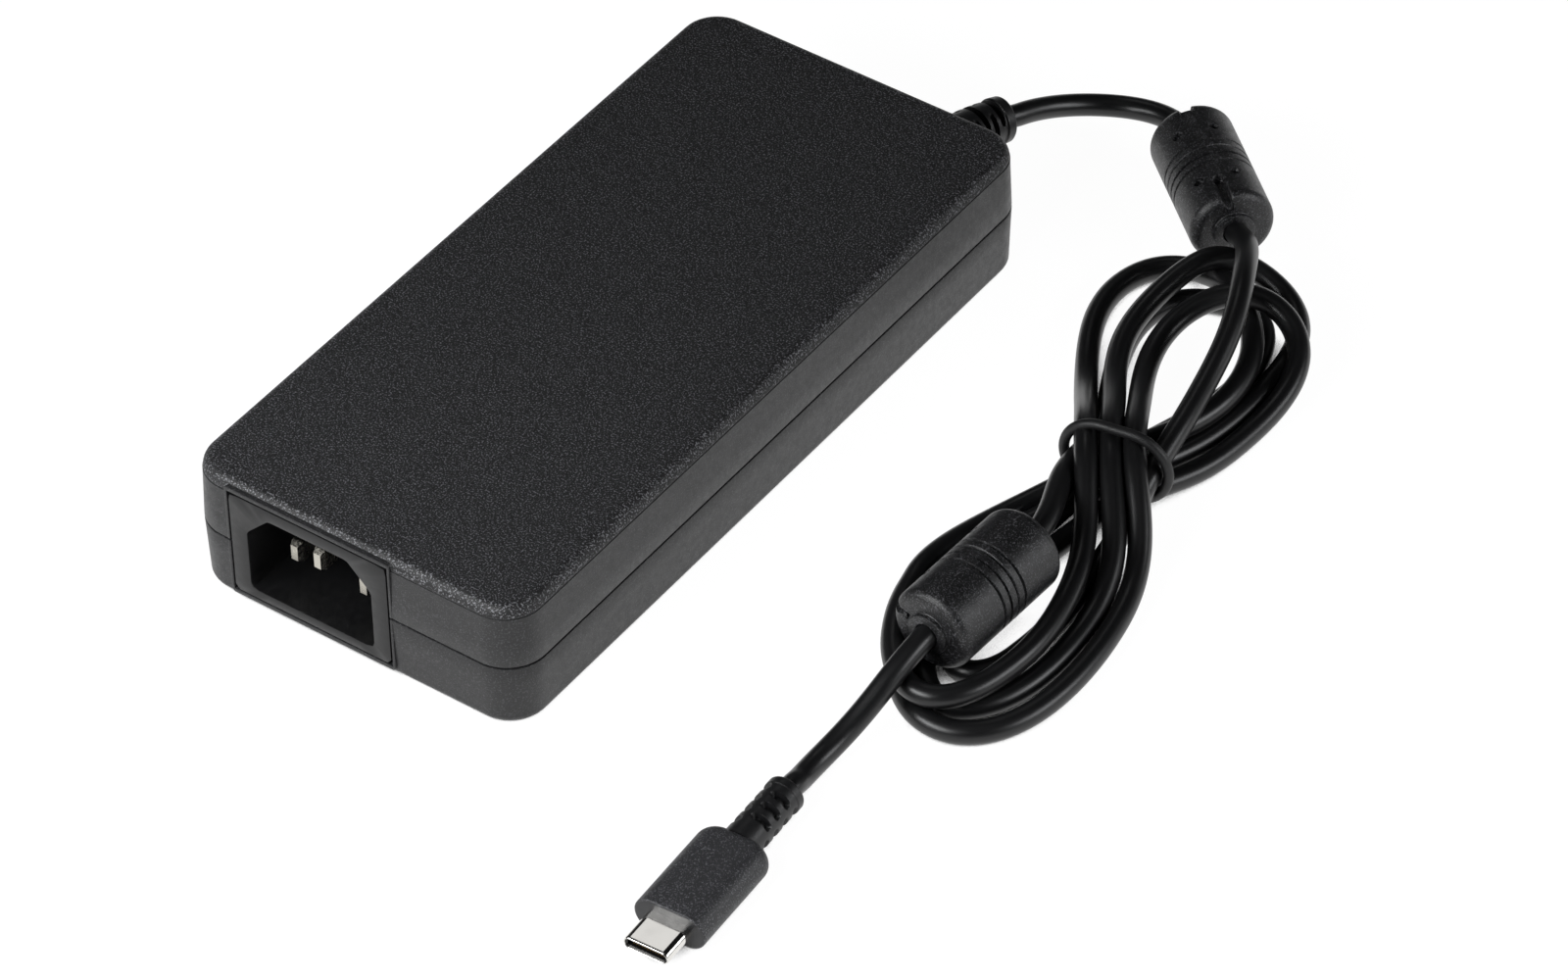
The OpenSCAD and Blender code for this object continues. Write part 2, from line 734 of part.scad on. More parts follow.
module lower_shield() {
    color(ALUMINIUM) plate(floor_z, shield_t);
}

module insulating_sheet() {
    color(YELLOW) plate(sheet_z, sheet_t);
}

module heat_spreader() {
    color(ALUMINIUM) translate([-plate_w / 2, plate_y0, ceiling_z - spreader_t])
        cube([plate_w, plate_y1 - plate_y0, spreader_t]);
}

// A block that stands on the board
module on_board(x, y, w, l, h, rise = 0) {
    translate([x - w / 2, y - l / 2, board_top + rise]) cube([w, l, h]);
}

module thermal_pads() {
    color(PAD) {
        on_board(trans_x, trans_y, trans_w - 4, trans_l - 4, pad_h, core_h);
        on_board(boost_x, boost_y, boost_w - 4, boost_l - 4, pad_h, core_h);
    }
}

module fuse() {
    cap_len = 4.5;
    color(METAL) for (s = [-1, 1])
        translate([fuse_x, fuse_y + s * (fuse_len - cap_len) / 2, board_top + fuse_r])
            rotate([90, 0, 0]) cylinder(r = fuse_r, h = cap_len, center = true);
    color(PAD) translate([fuse_x, fuse_y, board_top + fuse_r]) rotate([90, 0, 0])
        cylinder(r = fuse_r - 0.2, h = fuse_len - 2 * EPS, center = true);
}

// A disc on two leads, its faces along Y
module disc_part(x, y, r, t) {
    stand = 1;
    translate([x, y, board_top + stand + r]) rotate([90, 0, 0]) cylinder(r = r, h = t, center = true);
    for (s = [-1, 1]) translate([x + s * r / 2, y, board_top]) cylinder(r = lead_r, h = stand + r);
}

module varistor() {
    color(BLUE) disc_part(varistor_x, varistor_y, varistor_r, varistor_t);
}

module filter_capacitor() {
    color(YELLOW) on_board(filter_cap_x, filter_cap_y, filter_cap_w, filter_cap_l, filter_cap_h);
}

module filter_choke_core() {
    color(FERRITE) translate([choke_x, choke_y, board_top + choke_wire]) difference() {
        cylinder(r = choke_r, h = choke_h);
        translate([0, 0, -1]) cylinder(r = choke_hole_r, h = choke_h + 2);
    }
}

// Two windings that wrap the ring core on each side
module filter_choke_windings() {
    span = 140;
    color(COPPER) translate([choke_x, choke_y, board_top]) for (s = [0, 180])
        rotate([0, 0, s - span / 2]) rotate_extrude(angle = span) difference() {
            translate([choke_hole_r - choke_wire, 0])
                square([choke_r - choke_hole_r + 2 * choke_wire, choke_h + 2 * choke_wire]);
            translate([choke_hole_r - winding_gap, choke_wire - winding_gap])
                square([choke_r - choke_hole_r + 2 * winding_gap, choke_h + 2 * winding_gap]);
        }
}

module safety_capacitors() {
    color(BLUE) for (s = [-1, 1])
        disc_part(safety_x, safety_y + s * safety_t, safety_r, safety_t);
}

module bridge_rectifier() {
    legs = 4;
    stand = 1.5;
    color(BLACK) on_board(bridge_x, bridge_y, bridge_w, bridge_t, bridge_h, stand);
    color(METAL) for (k = [0:legs - 1])
        translate([bridge_x + (k - (legs - 1) / 2) * bridge_w / legs, bridge_y, board_top])
            cylinder(r = lead_r, h = stand + 1);
}

// A pair of E-shaped cores: two end plates, two side legs and a centre leg
module shell_core(x, y, w, l) {
    on_board(x, y, w, l, core_plate_t);
    on_board(x, y, w, l, core_plate_t, core_h - core_plate_t);
    for (s = [-1, 1])
        on_board(x + s * (w - core_leg_t) / 2, y, core_leg_t, l, core_h);
    translate([x, y, board_top]) cylinder(r = centre_leg_r(w), h = core_h);
}

function centre_leg_r(w) = w / 6;

// A round coil on a core's centre leg
module core_coil(x, y, w) {
    inner = centre_leg_r(w) + winding_gap;
    outer = w / 2 - core_leg_t - winding_gap;
    translate([x, y, board_top + core_plate_t]) difference() {
        cylinder(r = outer, h = core_h - 2 * core_plate_t);
        translate([0, 0, -1]) cylinder(r = inner, h = core_h);
    }
}

module boost_core() {
    color(FERRITE) shell_core(boost_x, boost_y, boost_w, boost_l);
}

module boost_winding() {
    color(COPPER) core_coil(boost_x, boost_y, boost_w);
}

module transformer_core() {
    color(FERRITE) shell_core(trans_x, trans_y, trans_w, trans_l);
}

module transformer_winding() {
    color(YELLOW) core_coil(trans_x, trans_y, trans_w);
}

module bulk_capacitors() {
    color(BLACK) for (k = [0:1])
        translate([bulk_x - k * bulk_pitch, bulk_y, board_top + bulk_r]) rotate([90, 0, 0])
            cylinder(r = bulk_r, h = bulk_len, center = true);
}

module sink(x, y, l) {
    difference() {
        on_board(x, y, sink_t, l, sink_h);
        for (s = [-1, 1]) translate([x, y + s * switch_gap / 2, board_top + screw_z])
            rotate([0, 90, 0]) cylinder(r = screw_r, h = sink_t + 2, center = true);
    }
}

module switch_pair(x, y) {
    for (s = [-1, 1]) difference() {
        union() {
            on_board(x, y + s * switch_gap / 2, switch_t, switch_w, switch_h, switch_lift);
            for (k = [-1:1]) translate([x, y + s * switch_gap / 2 + k * leg_pitch, board_top])
                cylinder(r = lead_r, h = leg_h);
        }
        translate([x, y + s * switch_gap / 2, board_top + screw_z]) rotate([0, 90, 0])
            cylinder(r = screw_r, h = switch_t + 2, center = true);
    }
}

module primary_heatsink() {
    color(ALUMINIUM) sink(-sink_x, primary_sink_y, primary_sink_l);
}

module primary_switches() {
    color(BLACK) switch_pair(-sink_x + (sink_t + switch_t) / 2, primary_sink_y);
}

module secondary_heatsink() {
    color(ALUMINIUM) sink(sink_x, secondary_sink_y, secondary_sink_l);
}

module secondary_switches() {
    color(BLACK) switch_pair(sink_x - (sink_t + switch_t) / 2, secondary_sink_y);
}

// One screw clamps each transistor to its heat sink
module heatsink_screws() {
    length = sink_t + switch_t;
    color(METAL) for (side = [-1, 1]) for (s = [-1, 1])
        translate([side * (sink_x + sink_t / 2),
            (side < 0 ? primary_sink_y : secondary_sink_y) + s * switch_gap / 2,
            board_top + screw_z]) rotate([0, -90 * side, 0]) {
            cylinder(r = screw_r, h = length);
            translate([0, 0, length]) cylinder(r = screw_head_r, h = screw_head_t);
        }
}

// An upright card with a chip on one face
module card(x, y, w, way) {
    chip_w = 6;
    chip_t = 1.2;
    color(BOARD) on_board(x, y, w, card_t, card_h);
    color(BLACK) translate([x - chip_w / 2, y + way * (card_t + chip_t) / 2 - chip_t / 2,
        board_top + card_h / 2 - chip_w / 2]) cube([chip_w, chip_t, chip_w]);
}

module control_card() {
    card(boost_x, control_card_y, control_card_w, 1);
}

module charge_card() {
    card(charge_card_x, charge_card_y, charge_card_w, 1);
}

module optocouplers() {
    color(BLACK) for (s = [-1, 1]) on_board(opto_x, opto_y + s * 3.5, 6.4, 4.6, 3.5);
}

module output_capacitors() {
    color(BLACK) for (k = [0:2])
        translate([output_cap_x + k * output_cap_pitch, output_cap_y, board_top])
            cylinder(r = output_cap_r, h = output_cap_h);
}

module output_choke() {
    color(FERRITE) translate([output_choke_x, output_cap_y, board_top])
        cylinder(r = output_choke_r, h = output_choke_h);
}

module output_wires() {
    flange_back = body_l / 2 - wall_t - relief_flange_gap - relief_flange_t;
    color(BLACK) for (s = [-1, 1])
        dropped_wire(relief_x + s * output_wire_side, flange_back, seam_z, output_wire_r, 3, 4, -1);
}

// Places a shape at the centre of the strain relief's arc
module at_relief() {
    translate([relief_x, relief_y, seam_z]) rotate([0, relief_droop, 0])
        translate([relief_bend_r, 0, 0]) children();
}

// Places a shape along the strain relief's arc, square to it
module along_relief(angle) {
    at_relief() rotate([0, 0, -angle]) translate([-relief_bend_r, 0, 0])
        rotate([-90, 0, 0]) children();
}

module relief_arc(r, from, to) {
    at_relief() rotate([0, 0, 180 - to])
        rotate_extrude(angle = to - from) translate([relief_bend_r, 0]) circle(r);
}

module output_relief() {
    inner_y = body_l / 2 - wall_t - relief_flange_gap;
    neck_len = relief_y - inner_y + fit_gap + relief_collar_len / 2;
    first = arc_angle(fit_gap + relief_collar_len / 2);
    last = relief_bend - arc_angle(relief_collar_len / 2);
    slot_step = (relief_bend - arc_angle(fit_gap + 2 * relief_collar_len)) / (relief_slots + 1);
    color(BLACK) difference() {
        union() {
            translate([relief_x, inner_y - relief_flange_t, seam_z]) rotate([-90, 0, 0])
                cylinder(r = relief_flange_r, h = relief_flange_t);
            translate([relief_x, inner_y - EPS, seam_z]) rotate([-90, 0, 0])
                cylinder(r = neck_r, h = neck_len);
            translate([relief_x, relief_y + fit_gap, seam_z]) rotate([-90, 0, 0])
                cylinder(r = relief_r, h = relief_collar_len);
            relief_arc(relief_body_r, first, last);
            along_relief(relief_bend) translate([0, 0, -relief_collar_len])
                cylinder(r = relief_end_r, h = relief_collar_len);
        }
        for (k = [1:relief_slots]) along_relief(arc_angle(fit_gap + relief_collar_len) + k * slot_step)
            rotate([0, 0, k % 2 == 0 ? 0 : 90]) for (s = [-1, 1])
                translate([s * (cord_r + 0.6 + relief_r / 2), 0, 0])
                    cube([relief_r, 2 * relief_r, boot_slot_w], center = true);
    }
}

// The angle of the strain relief's arc that a length along it takes up
function arc_angle(run) = run / relief_bend_r * 180 / PI;

module cord_upper() {
    color(BLACK) tube(upper_route, cord_r, 10, 2);
}

module cord_lower() {
    color(BLACK) tube(lower_route, cord_r, 10, 2);
}

// A pear-shaped ring, as the outer shape of one bundle of loops
module loop_ring(big, big_r, small, small_r, hole, hole_r, end, end_r) {
    linear_extrude(hank_h) difference() {
        hull() {
            translate(big) circle(big_r);
            translate(small) circle(small_r);
        }
        hull() {
            translate(hole) circle(hole_r);
            translate(end) circle(end_r);
        }
    }
}

// Places a shape at the tie: x along the bundle, y across it
module at_tie() {
    translate([tie_at[0], tie_at[1], tie_z]) rotate([0, 0, tie_turn]) children();
}

module cord_hank() {
    color(BLACK) difference() {
        union() {
            loop_ring([71.5, 67], 18.5, [79, 40], 9.5, [74.5, 68], 7, [78.5, 50], 3.5);
            loop_ring([82.3, -14.5], 19.3, [81, 20], 9, [80.5, -13], 9, [81, 8], 4.5);
            at_tie() rotate([90, 0, 90]) linear_extrude(2 * waist_len, center = true)
                stadium(tie_w - 2 * tie_r - 2 * fit_gap, tie_h - 2 * tie_r - 2 * fit_gap);
        }
        translate(lower_sleeve_at) rotate([0, 0, lower_sleeve_turn]) rotate([0, 90, 0])
            cylinder(r = sleeve_d / 2 + fit_gap, h = sleeve_len + 2, center = true);
        at_tie() translate([-tie_r - fit_gap, -tie_w, -tie_z - 1])
            cube([2 * tie_r + 2 * fit_gap, 2 * tie_w, 1 + 2 * tie_r]);
    }
}

module tie_band() {
    run = tie_w - tie_h;
    color(BLACK) at_tie() rotate([90, 0, 90]) {
        for (s = [0, 180]) rotate([0, 0, s]) translate([run / 2, 0, 0]) rotate([0, 0, -90])
            rotate_extrude(angle = 180) translate([tie_h / 2, 0]) circle(tie_r);
        for (s = [-1, 1]) translate([-run / 2, s * tie_h / 2, 0]) rotate([0, 90, 0])
            cylinder(r = tie_r, h = run);
    }
}

// A turned barrel with rounded edges, along X, centred
module barrel(r, l, edge) {
    rotate([0, 90, 0]) translate([0, 0, -l / 2]) rotate_extrude() {
        square([r - edge, l]);
        translate([0, edge]) square([r, l - 2 * edge]);
        for (z = [edge, l - edge]) translate([r - edge, z]) circle(edge);
    }
}

module sleeve() {
    r = sleeve_d / 2;
    core_len = sleeve_len - 2 * sleeve_t;
    difference() {
        union() {
            barrel(r, sleeve_len, sleeve_edge_r);
            rotate([0, 90, 0]) cylinder(r = collar_r, h = 2 * sleeve_reach, center = true);
        }
        rotate([0, 90, 0]) cylinder(r = r - sleeve_t, h = core_len, center = true);
        rotate([0, 90, 0]) cylinder(r = cord_r, h = 2 * sleeve_reach + 2, center = true);
        for (k = [0:groove_count - 1])
            translate([(k - (groove_count - 1) / 2) * groove_pitch, 0, 0]) rotate([0, 90, 0])
                difference() {
                    cylinder(r = r + 1, h = groove_w, center = true);
                    cylinder(r = r - groove_w, h = 2 * groove_w, center = true);
                }
        for (x = [-1, 1]) for (y = [-1, 1])
            translate([x * (groove_count / 2 * groove_pitch + 2), y * r * sin(25), r * cos(25)])
                rotate([-25 * y, 0, 0]) cylinder(r = mould_hole_r, h = sleeve_t, center = true);
    }
}

module ferrite_core() {
    rotate([0, 90, 0]) difference() {
        cylinder(r = sleeve_d / 2 - sleeve_t, h = sleeve_len - 2 * sleeve_t, center = true);
        cylinder(r = cord_r + core_gap, h = sleeve_len, center = true);
    }
}

module upper_sleeve() {
    color(BLACK) translate(upper_sleeve_at) rotate([0, 0, upper_sleeve_turn]) sleeve();
}

module upper_ferrite() {
    color(FERRITE) translate(upper_sleeve_at) rotate([0, 0, upper_sleeve_turn]) ferrite_core();
}

module lower_sleeve() {
    color(BLACK) translate(lower_sleeve_at) rotate([0, 0, lower_sleeve_turn]) sleeve();
}

module lower_ferrite() {
    color(FERRITE) translate(lower_sleeve_at) rotate([0, 0, lower_sleeve_turn]) ferrite_core();
}

// Places a shape on the plug: x towards its mouth, from the grip's front face
module at_plug() {
    translate(plug_at) rotate([0, 0, plug_turn]) children();
}

// A stadium-shaped bar along the plug, from x0 to x1
module plug_bar(w, h, x0, x1) {
    translate([x0, 0, 0]) rotate([90, 0, 90]) linear_extrude(x1 - x0) stadium(w, h);
}

module plug_grip() {
    color(CASE) at_plug() difference() {
        intersection() {
            plug_bar(grip_w, grip_h, -grip_len, 0);
            linear_extrude(grip_h, center = true) {
                translate([-grip_len / 2, 0]) round_rect(grip_len, grip_w, grip_corner_r);
                translate([-grip_len / 2, -grip_w / 2]) square([grip_len / 2, grip_w]);
            }
        }
        plug_bar(shell_w, shell_h, -shell_in, 1);
        translate([card_x0, -plug_card_w / 2, -plug_card_t / 2])
            cube([plug_card_l + EPS, plug_card_w, plug_card_t]);
        rotate([0, 90, 0]) translate([0, 0, -grip_len - 1]) cylinder(r = cord_r, h = 3);
    }
}

module plug_boot() {
    color(BLACK) at_plug() rotate([0, -90, 0]) translate([0, 0, grip_len]) difference() {
        cylinder(r = boot_r, h = boot_len);
        translate([0, 0, -1]) cylinder(r = cord_r, h = boot_len + 2);
        for (k = [0:boot_slots - 1]) translate([0, 0, boot_slot_x0 + k * boot_slot_pitch / 2])
            rotate([0, 0, k % 2 == 0 ? 0 : 90]) for (s = [0, 180])
                rotate([0, 0, s - boot_slot_arc / 2]) rotate_extrude(angle = boot_slot_arc)
                    translate([cord_r + boot_slot_wall, 0])
                    square([boot_r, boot_slot_w]);
    }
}

module plug_shell() {
    color(METAL) at_plug() difference() {
        plug_bar(shell_w, shell_h, -shell_in, shell_out);
        plug_bar(shell_w - 2 * shell_t, shell_h - 2 * shell_t, -shell_in - 1, shell_out + 1);
    }
}

module plug_insert() {
    color(BLACK) at_plug() difference() {
        plug_bar(shell_w - 2 * shell_t, shell_h - 2 * shell_t, -shell_in, shell_out - 0.3);
        translate([shell_out - slot_depth, -slot_w / 2, -slot_h / 2])
            cube([slot_depth + 1, slot_w, slot_h]);
    }
}

module plug_contacts() {
    width = 0.25;
    thick = 0.12;
    color(COPPER) at_plug() for (side = [-1, 1]) for (k = [0:contact_count - 1])
        translate([shell_out - slot_depth, (k - (contact_count - 1) / 2) * contact_pitch - width / 2,
            side > 0 ? slot_h / 2 - thick : -slot_h / 2]) cube([slot_depth - 1, width, thick]);
}

module plug_card() {
    color(BOARD) at_plug() translate([card_x0, -plug_card_w / 2, -plug_card_t / 2])
        cube([plug_card_l, plug_card_w, plug_card_t]);
}

top_cover();
bottom_cover();
inlet_housing();
line_pin();
neutral_pin();
earth_pin();
inlet_wires();
circuit_board();
lower_shield();
insulating_sheet();
heat_spreader();
thermal_pads();
fuse();
varistor();
filter_capacitor();
filter_choke_core();
filter_choke_windings();
safety_capacitors();
bridge_rectifier();
boost_core();
boost_winding();
bulk_capacitors();
primary_heatsink();
primary_switches();
control_card();
transformer_core();
transformer_winding();
optocouplers();
secondary_heatsink();
secondary_switches();
output_capacitors();
output_choke();
charge_card();
heatsink_screws();
output_wires();
output_relief();
cord_upper();
cord_hank();
cord_lower();
tie_band();
upper_sleeve();
upper_ferrite();
lower_sleeve();
lower_ferrite();
plug_boot();
plug_grip();
plug_shell();
plug_insert();
plug_contacts();
plug_card();
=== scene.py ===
import math

import bpy
import numpy as np
from bpy.props import FloatProperty, FloatVectorProperty, IntProperty, PointerProperty
from mathutils import Matrix, Vector


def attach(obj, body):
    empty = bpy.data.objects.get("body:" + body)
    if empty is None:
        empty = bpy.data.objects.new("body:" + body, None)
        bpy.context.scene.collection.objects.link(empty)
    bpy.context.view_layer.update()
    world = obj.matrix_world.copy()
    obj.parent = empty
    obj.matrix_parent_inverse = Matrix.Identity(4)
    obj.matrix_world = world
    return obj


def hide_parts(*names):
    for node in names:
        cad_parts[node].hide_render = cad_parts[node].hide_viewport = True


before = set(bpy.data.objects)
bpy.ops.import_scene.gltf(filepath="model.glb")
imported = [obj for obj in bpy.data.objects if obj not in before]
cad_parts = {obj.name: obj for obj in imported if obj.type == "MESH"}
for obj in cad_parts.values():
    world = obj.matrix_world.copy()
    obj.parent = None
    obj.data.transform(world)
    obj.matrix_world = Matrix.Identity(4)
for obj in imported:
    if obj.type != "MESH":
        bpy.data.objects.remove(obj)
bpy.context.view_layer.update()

bl_info = {
    "name": "Laptop power adapter",
    "version": (1, 0, 0),
    "blender": (4, 5, 0),
    "location": "View3D > Sidebar > Adapter",
    "description": "Builds a laptop power adapter with its tied output lead around its packed frame",
    "category": "Add Mesh",
}

MM = 0.001
BODY = "root"

# The brick lies along Y with its mains inlet at the -Y end. Lengths are millimetres. A place is a point and
# the angle in degrees that its axis has on the floor.
SLEEVE_REACH = 13.8
UPPER_SLEEVE = ((54.0, 97.7, 7.5), -40.3)
LOWER_SLEEVE = ((80.4, -12.3, 11.5), -92.7)
PLUG = ((78.85, -94.2, 3.3), -87.0)
TIE = ((79.7, 28.9), -80.0)

# The lead's own route, as points that the cord passes through, one list for each pass of the hank.
LEAD_OUT = [
    (18.5, 91.1, 10.4), (19.8, 95.5, 9.4), (22.5, 101.2, 7.6), (26.7, 105.7, 6.4), (31.4, 108.3, 6.2),
    (36.4, 108.9, 6.7)]
OVER_THE_TOP = [
    (67.3, 86.1, 8.8), (70.2, 82.5, 10), (73.2, 77.6, 12), (76.5, 71.8, 13.8), (79, 66.5, 13.6),
    (80.8, 61.3, 12.4), (81.8, 56.4, 11.2), (82.8, 49.2, 9.8), (83.9, 41.7, 8.3)]
FIRST_LOWER = [
    (87.6, 20, 5), (88.6, 12, 2.6), (88.7, 3.5, 2), (89.4, -5, 2), (88.8, -12.6, 2), (87.9, -16.8, 2),
    (86.1, -19.8, 2), (83.6, -21.2, 2), (81.1, -20.3, 2), (79.4, -17, 2), (78.1, -11.5, 2), (77.8, -4, 2),
    (78.4, 4, 2), (79.8, 12, 2), (81.9, 20, 2.8)]
FIRST_UPPER = [
    (87.8, 34.2, 2.6), (89.6, 43.2, 2), (90.3, 50.4, 2), (90.5, 58, 2), (89.9, 65.3, 3.3),
    (87.4, 72.6, 5), (84.5, 75.4, 6.4), (81.4, 75.6, 8), (77, 74.4, 10), (73.2, 71.7, 9.6),
    (69.4, 69.2, 7.6), (67.7, 64.1, 6), (68.6, 57.8, 6), (70.6, 51.6, 6), (73.2, 46, 6.8),
    (77.6, 39.4, 9)]
SECOND_LOWER = [
    (86.8, 23.5, 9), (91.2, 18.8, 5.5), (95.1, 10.9, 2.6), (97.3, 3.1, 2), (98.7, -4.9, 2),
    (99.1, -13, 2), (98.5, -20.3, 2), (96.6, -26.9, 2), (94.1, -31.3, 2), (91.1, -33.7, 2),
    (87.9, -34.6, 2), (84.3, -33.9, 2), (80.5, -32, 2), (77.6, -29.2, 2), (74.9, -25.8, 2),
    (71.8, -20.8, 2), (70, -15.5, 2), (69, -10, 2), (69.2, -4, 2), (70, 2, 2), (71.6, 9.5, 2),
    (75.2, 19, 2.8)]
SECOND_UPPER = [
    (82.2, 35.8, 3), (84.9, 43.4, 2), (86.6, 51, 2), (87.2, 58, 2), (87.2, 65, 2), (86.7, 71, 2),
    (85.4, 76.4, 2), (81.8, 81.5, 2), (76.4, 85, 3.2), (70.8, 84.9, 5.2), (66.3, 80.7, 7),
    (63, 73.9, 6.8), (61.7, 67.4, 6.2), (62, 60.6, 6), (64.3, 53, 6), (67.7, 46.6, 6.2), (73.2, 38.6, 9)]
THIRD_LOWER = [
    (82.9, 22.5, 10), (87.3, 16.7, 6), (91.8, 7.7, 3), (93.9, -1.8, 2), (94.4, -8, 2), (94.3, -14, 2),
    (93.6, -19.1, 2), (91.5, -24.7, 2), (88.2, -28.6, 2), (84.7, -30.9, 2), (82, -28.6, 2),
    (79.3, -26, 2), (77, -22.6, 2), (75.2, -18.8, 2), (73.9, -14.5, 2), (73.2, -9, 2), (73.4, -3, 2),
    (74.4, 4, 2.4), (76.1, 12.5, 4.2), (78, 20.5, 6.4)]
THIRD_UPPER = [
    (81.7, 37.2, 8), (84, 44.5, 6.4), (85, 50.5, 6), (85, 56.5, 6), (84, 61.8, 6), (81.1, 68.7, 6),
    (78.2, 72.2, 6), (75.4, 74.6, 6), (71.3, 77.7, 5.8), (66.6, 81.1, 4), (62.4, 82.6, 2.6),
    (59.3, 82.5, 2), (56.2, 80.5, 2), (53.4, 76.5, 2), (52.3, 70, 2), (53.4, 63.5, 2), (56.6, 56, 2),
    (61.5, 48, 2.2), (66.1, 41.1, 4.8), (70.2, 34.9, 8.6)]
FOURTH_LOWER = [
    (77.9, 22, 11), (83, 15.2, 7), (87.8, 5.5, 6), (90.3, -2.5, 6), (91.6, -9.7, 6), (91.8, -16.4, 6),
    (90.8, -23, 6), (88.9, -28.8, 6), (86.8, -32.4, 6), (83.8, -34, 6), (80.6, -32.9, 6),
    (76.4, -29.6, 6), (72.2, -24.2, 6), (69.3, -18.5, 5.8), (67.1, -11.2, 5.2), (66.7, -6, 5),
    (66.5, 0.4, 3.6), (67, 9.1, 2), (69, 14.5, 2), (72.4, 21, 2.6)]
FOURTH_UPPER = [
    (77.7, 37, 3), (79.4, 45.1, 2), (81, 50.5, 2), (82.5, 56.3, 2), (83.1, 63, 2), (82, 69.1, 2),
    (80.3, 73.1, 2), (77.9, 76.4, 2), (75, 79.1, 2), (71.6, 80.3, 2), (68, 79.6, 2), (64.7, 77.1, 2),
    (61.9, 73.2, 2), (60.5, 68.7, 2), (61, 62.3, 2), (62.7, 56.3, 2), (64.8, 50.8, 2), (67.4, 45.2, 2.8),
    (72, 35.5, 5.5)]
LAST_LOWER = [
    (75.1, 22.3, 8.6), (77.5, 14.9, 10), (80.1, 8.1, 11.2)]
TO_THE_PLUG = [
    (79.5, -32.6, 10.0), (79.2, -35.8, 8.5), (78.5, -39.0, 6.4), (77.5, -42.2, 4.2), (76.7, -45.8, 2.6),
    (76.3, -49.6, 2.1), (76.4, -54, 2.2), (76.8, -57.8, 2.8)]
# Where each strand crosses the tie: its distance to the +X side of the middle, and its height.
AT_TIE = {"over": (5.8, 7.6), "first": (4.2, 3.9), "second_down": (2.6, 11.8), "second": (0.1, 3.8),
          "third_down": (-1.8, 11.9), "third": (-1.2, 7.9), "fourth_down": (-5.5, 11.6),
          "fourth": (-4.1, 3.9), "last": (-5.6, 7.7)}
# The hank in order: which crossing of the tie comes first, and the strand that follows it.
HANK = (("over", FIRST_LOWER), ("first", FIRST_UPPER), ("second_down", SECOND_LOWER),
        ("second", SECOND_UPPER), ("third_down", THIRD_LOWER), ("third", THIRD_UPPER),
        ("fourth_down", FOURTH_LOWER), ("fourth", FOURTH_UPPER), ("last", LAST_LOWER))

# The inlet's face stands this far out of the end of the brick.
FACE_OUT = 0.05
# The slots of the strain relief and of the plug's boot, as slotted() takes them.
RELIEF_SLOTS = {"rows": 7, "pitch": 1.9, "first": 1.95, "length": 2.3, "width": 1.1, "depth": 1.3, "odd": 0}
BOOT_SLOTS = {"rows": 7, "pitch": 1.4, "first": 2.6, "length": 1.2, "width": 1.5, "depth": 1.2, "odd": 1}
# How far the boot's slots are turned about its axis, in radians.
BOOT_TURN = 0.52


def linear(hex_colour):
    """Turns an sRGB hex colour into the linear red, green, blue and alpha that shaders read."""
    parts = [int(hex_colour[i:i + 2], 16) / 255 for i in (1, 3, 5)]
    return [c / 12.92 if c <= 0.04045 else ((c + 0.055) / 1.055) ** 2.4 for c in parts] + [1.0]


# ---------------------------------------------------------------- shapes

def turned(angle):
    """The unit vector in the floor plane at this angle from +X, in degrees."""
    a = math.radians(angle)
    return np.array([math.cos(a), math.sin(a), 0.0])


def put(points, at, angle):
    """Turns points about Z by an angle in degrees, then moves them: rotation times point, plus a shift."""
    a = math.radians(angle)
    spin = np.array([[math.cos(a), -math.sin(a), 0], [math.sin(a), math.cos(a), 0], [0, 0, 1]])
    return np.asarray(points) @ spin.T + np.asarray(at, float)


def smoothstep(x):
    """0 below 0, 1 above 1, and three x squared less two x cubed between."""
    x = np.clip(x, 0, 1)
    return x * x * (3 - 2 * x)


def flow(points, steps):
    """A smooth curve through points: cubics whose slopes weigh neighbours by the root of their distance."""
    points = np.asarray(points, float)
    gap = np.linalg.norm(np.diff(points, axis=0), axis=1) ** 0.5
    rate = np.diff(points, axis=0) / gap[:, None]
    slope = np.vstack([rate[:1], (rate[:-1] * gap[1:, None] + rate[1:] * gap[:-1, None])
                       / (gap[1:] + gap[:-1])[:, None], rate[-1:]])
    i = np.repeat(np.arange(len(points) - 1), steps)
    t = np.tile(np.arange(steps) / steps, len(points) - 1)[:, None]
    h = gap[i][:, None]
    curve = ((2 * t ** 3 - 3 * t ** 2 + 1) * points[i] + (t ** 3 - 2 * t ** 2 + t) * h * slope[i]
             + (3 * t ** 2 - 2 * t ** 3) * points[i + 1] + (t ** 3 - t ** 2) * h * slope[i + 1])
    return np.vstack([curve, points[-1:]])


def even(curve, step):
    """The same curve with its points a constant distance apart, by linear interpolation on its length."""
    run = np.concatenate([[0], np.cumsum(np.linalg.norm(np.diff(curve, axis=0), axis=1))])
    at = np.linspace(0, run[-1], int(round(run[-1] / step)) + 1)
    return np.stack([np.interp(at, run, curve[:, k]) for k in range(3)], 1)


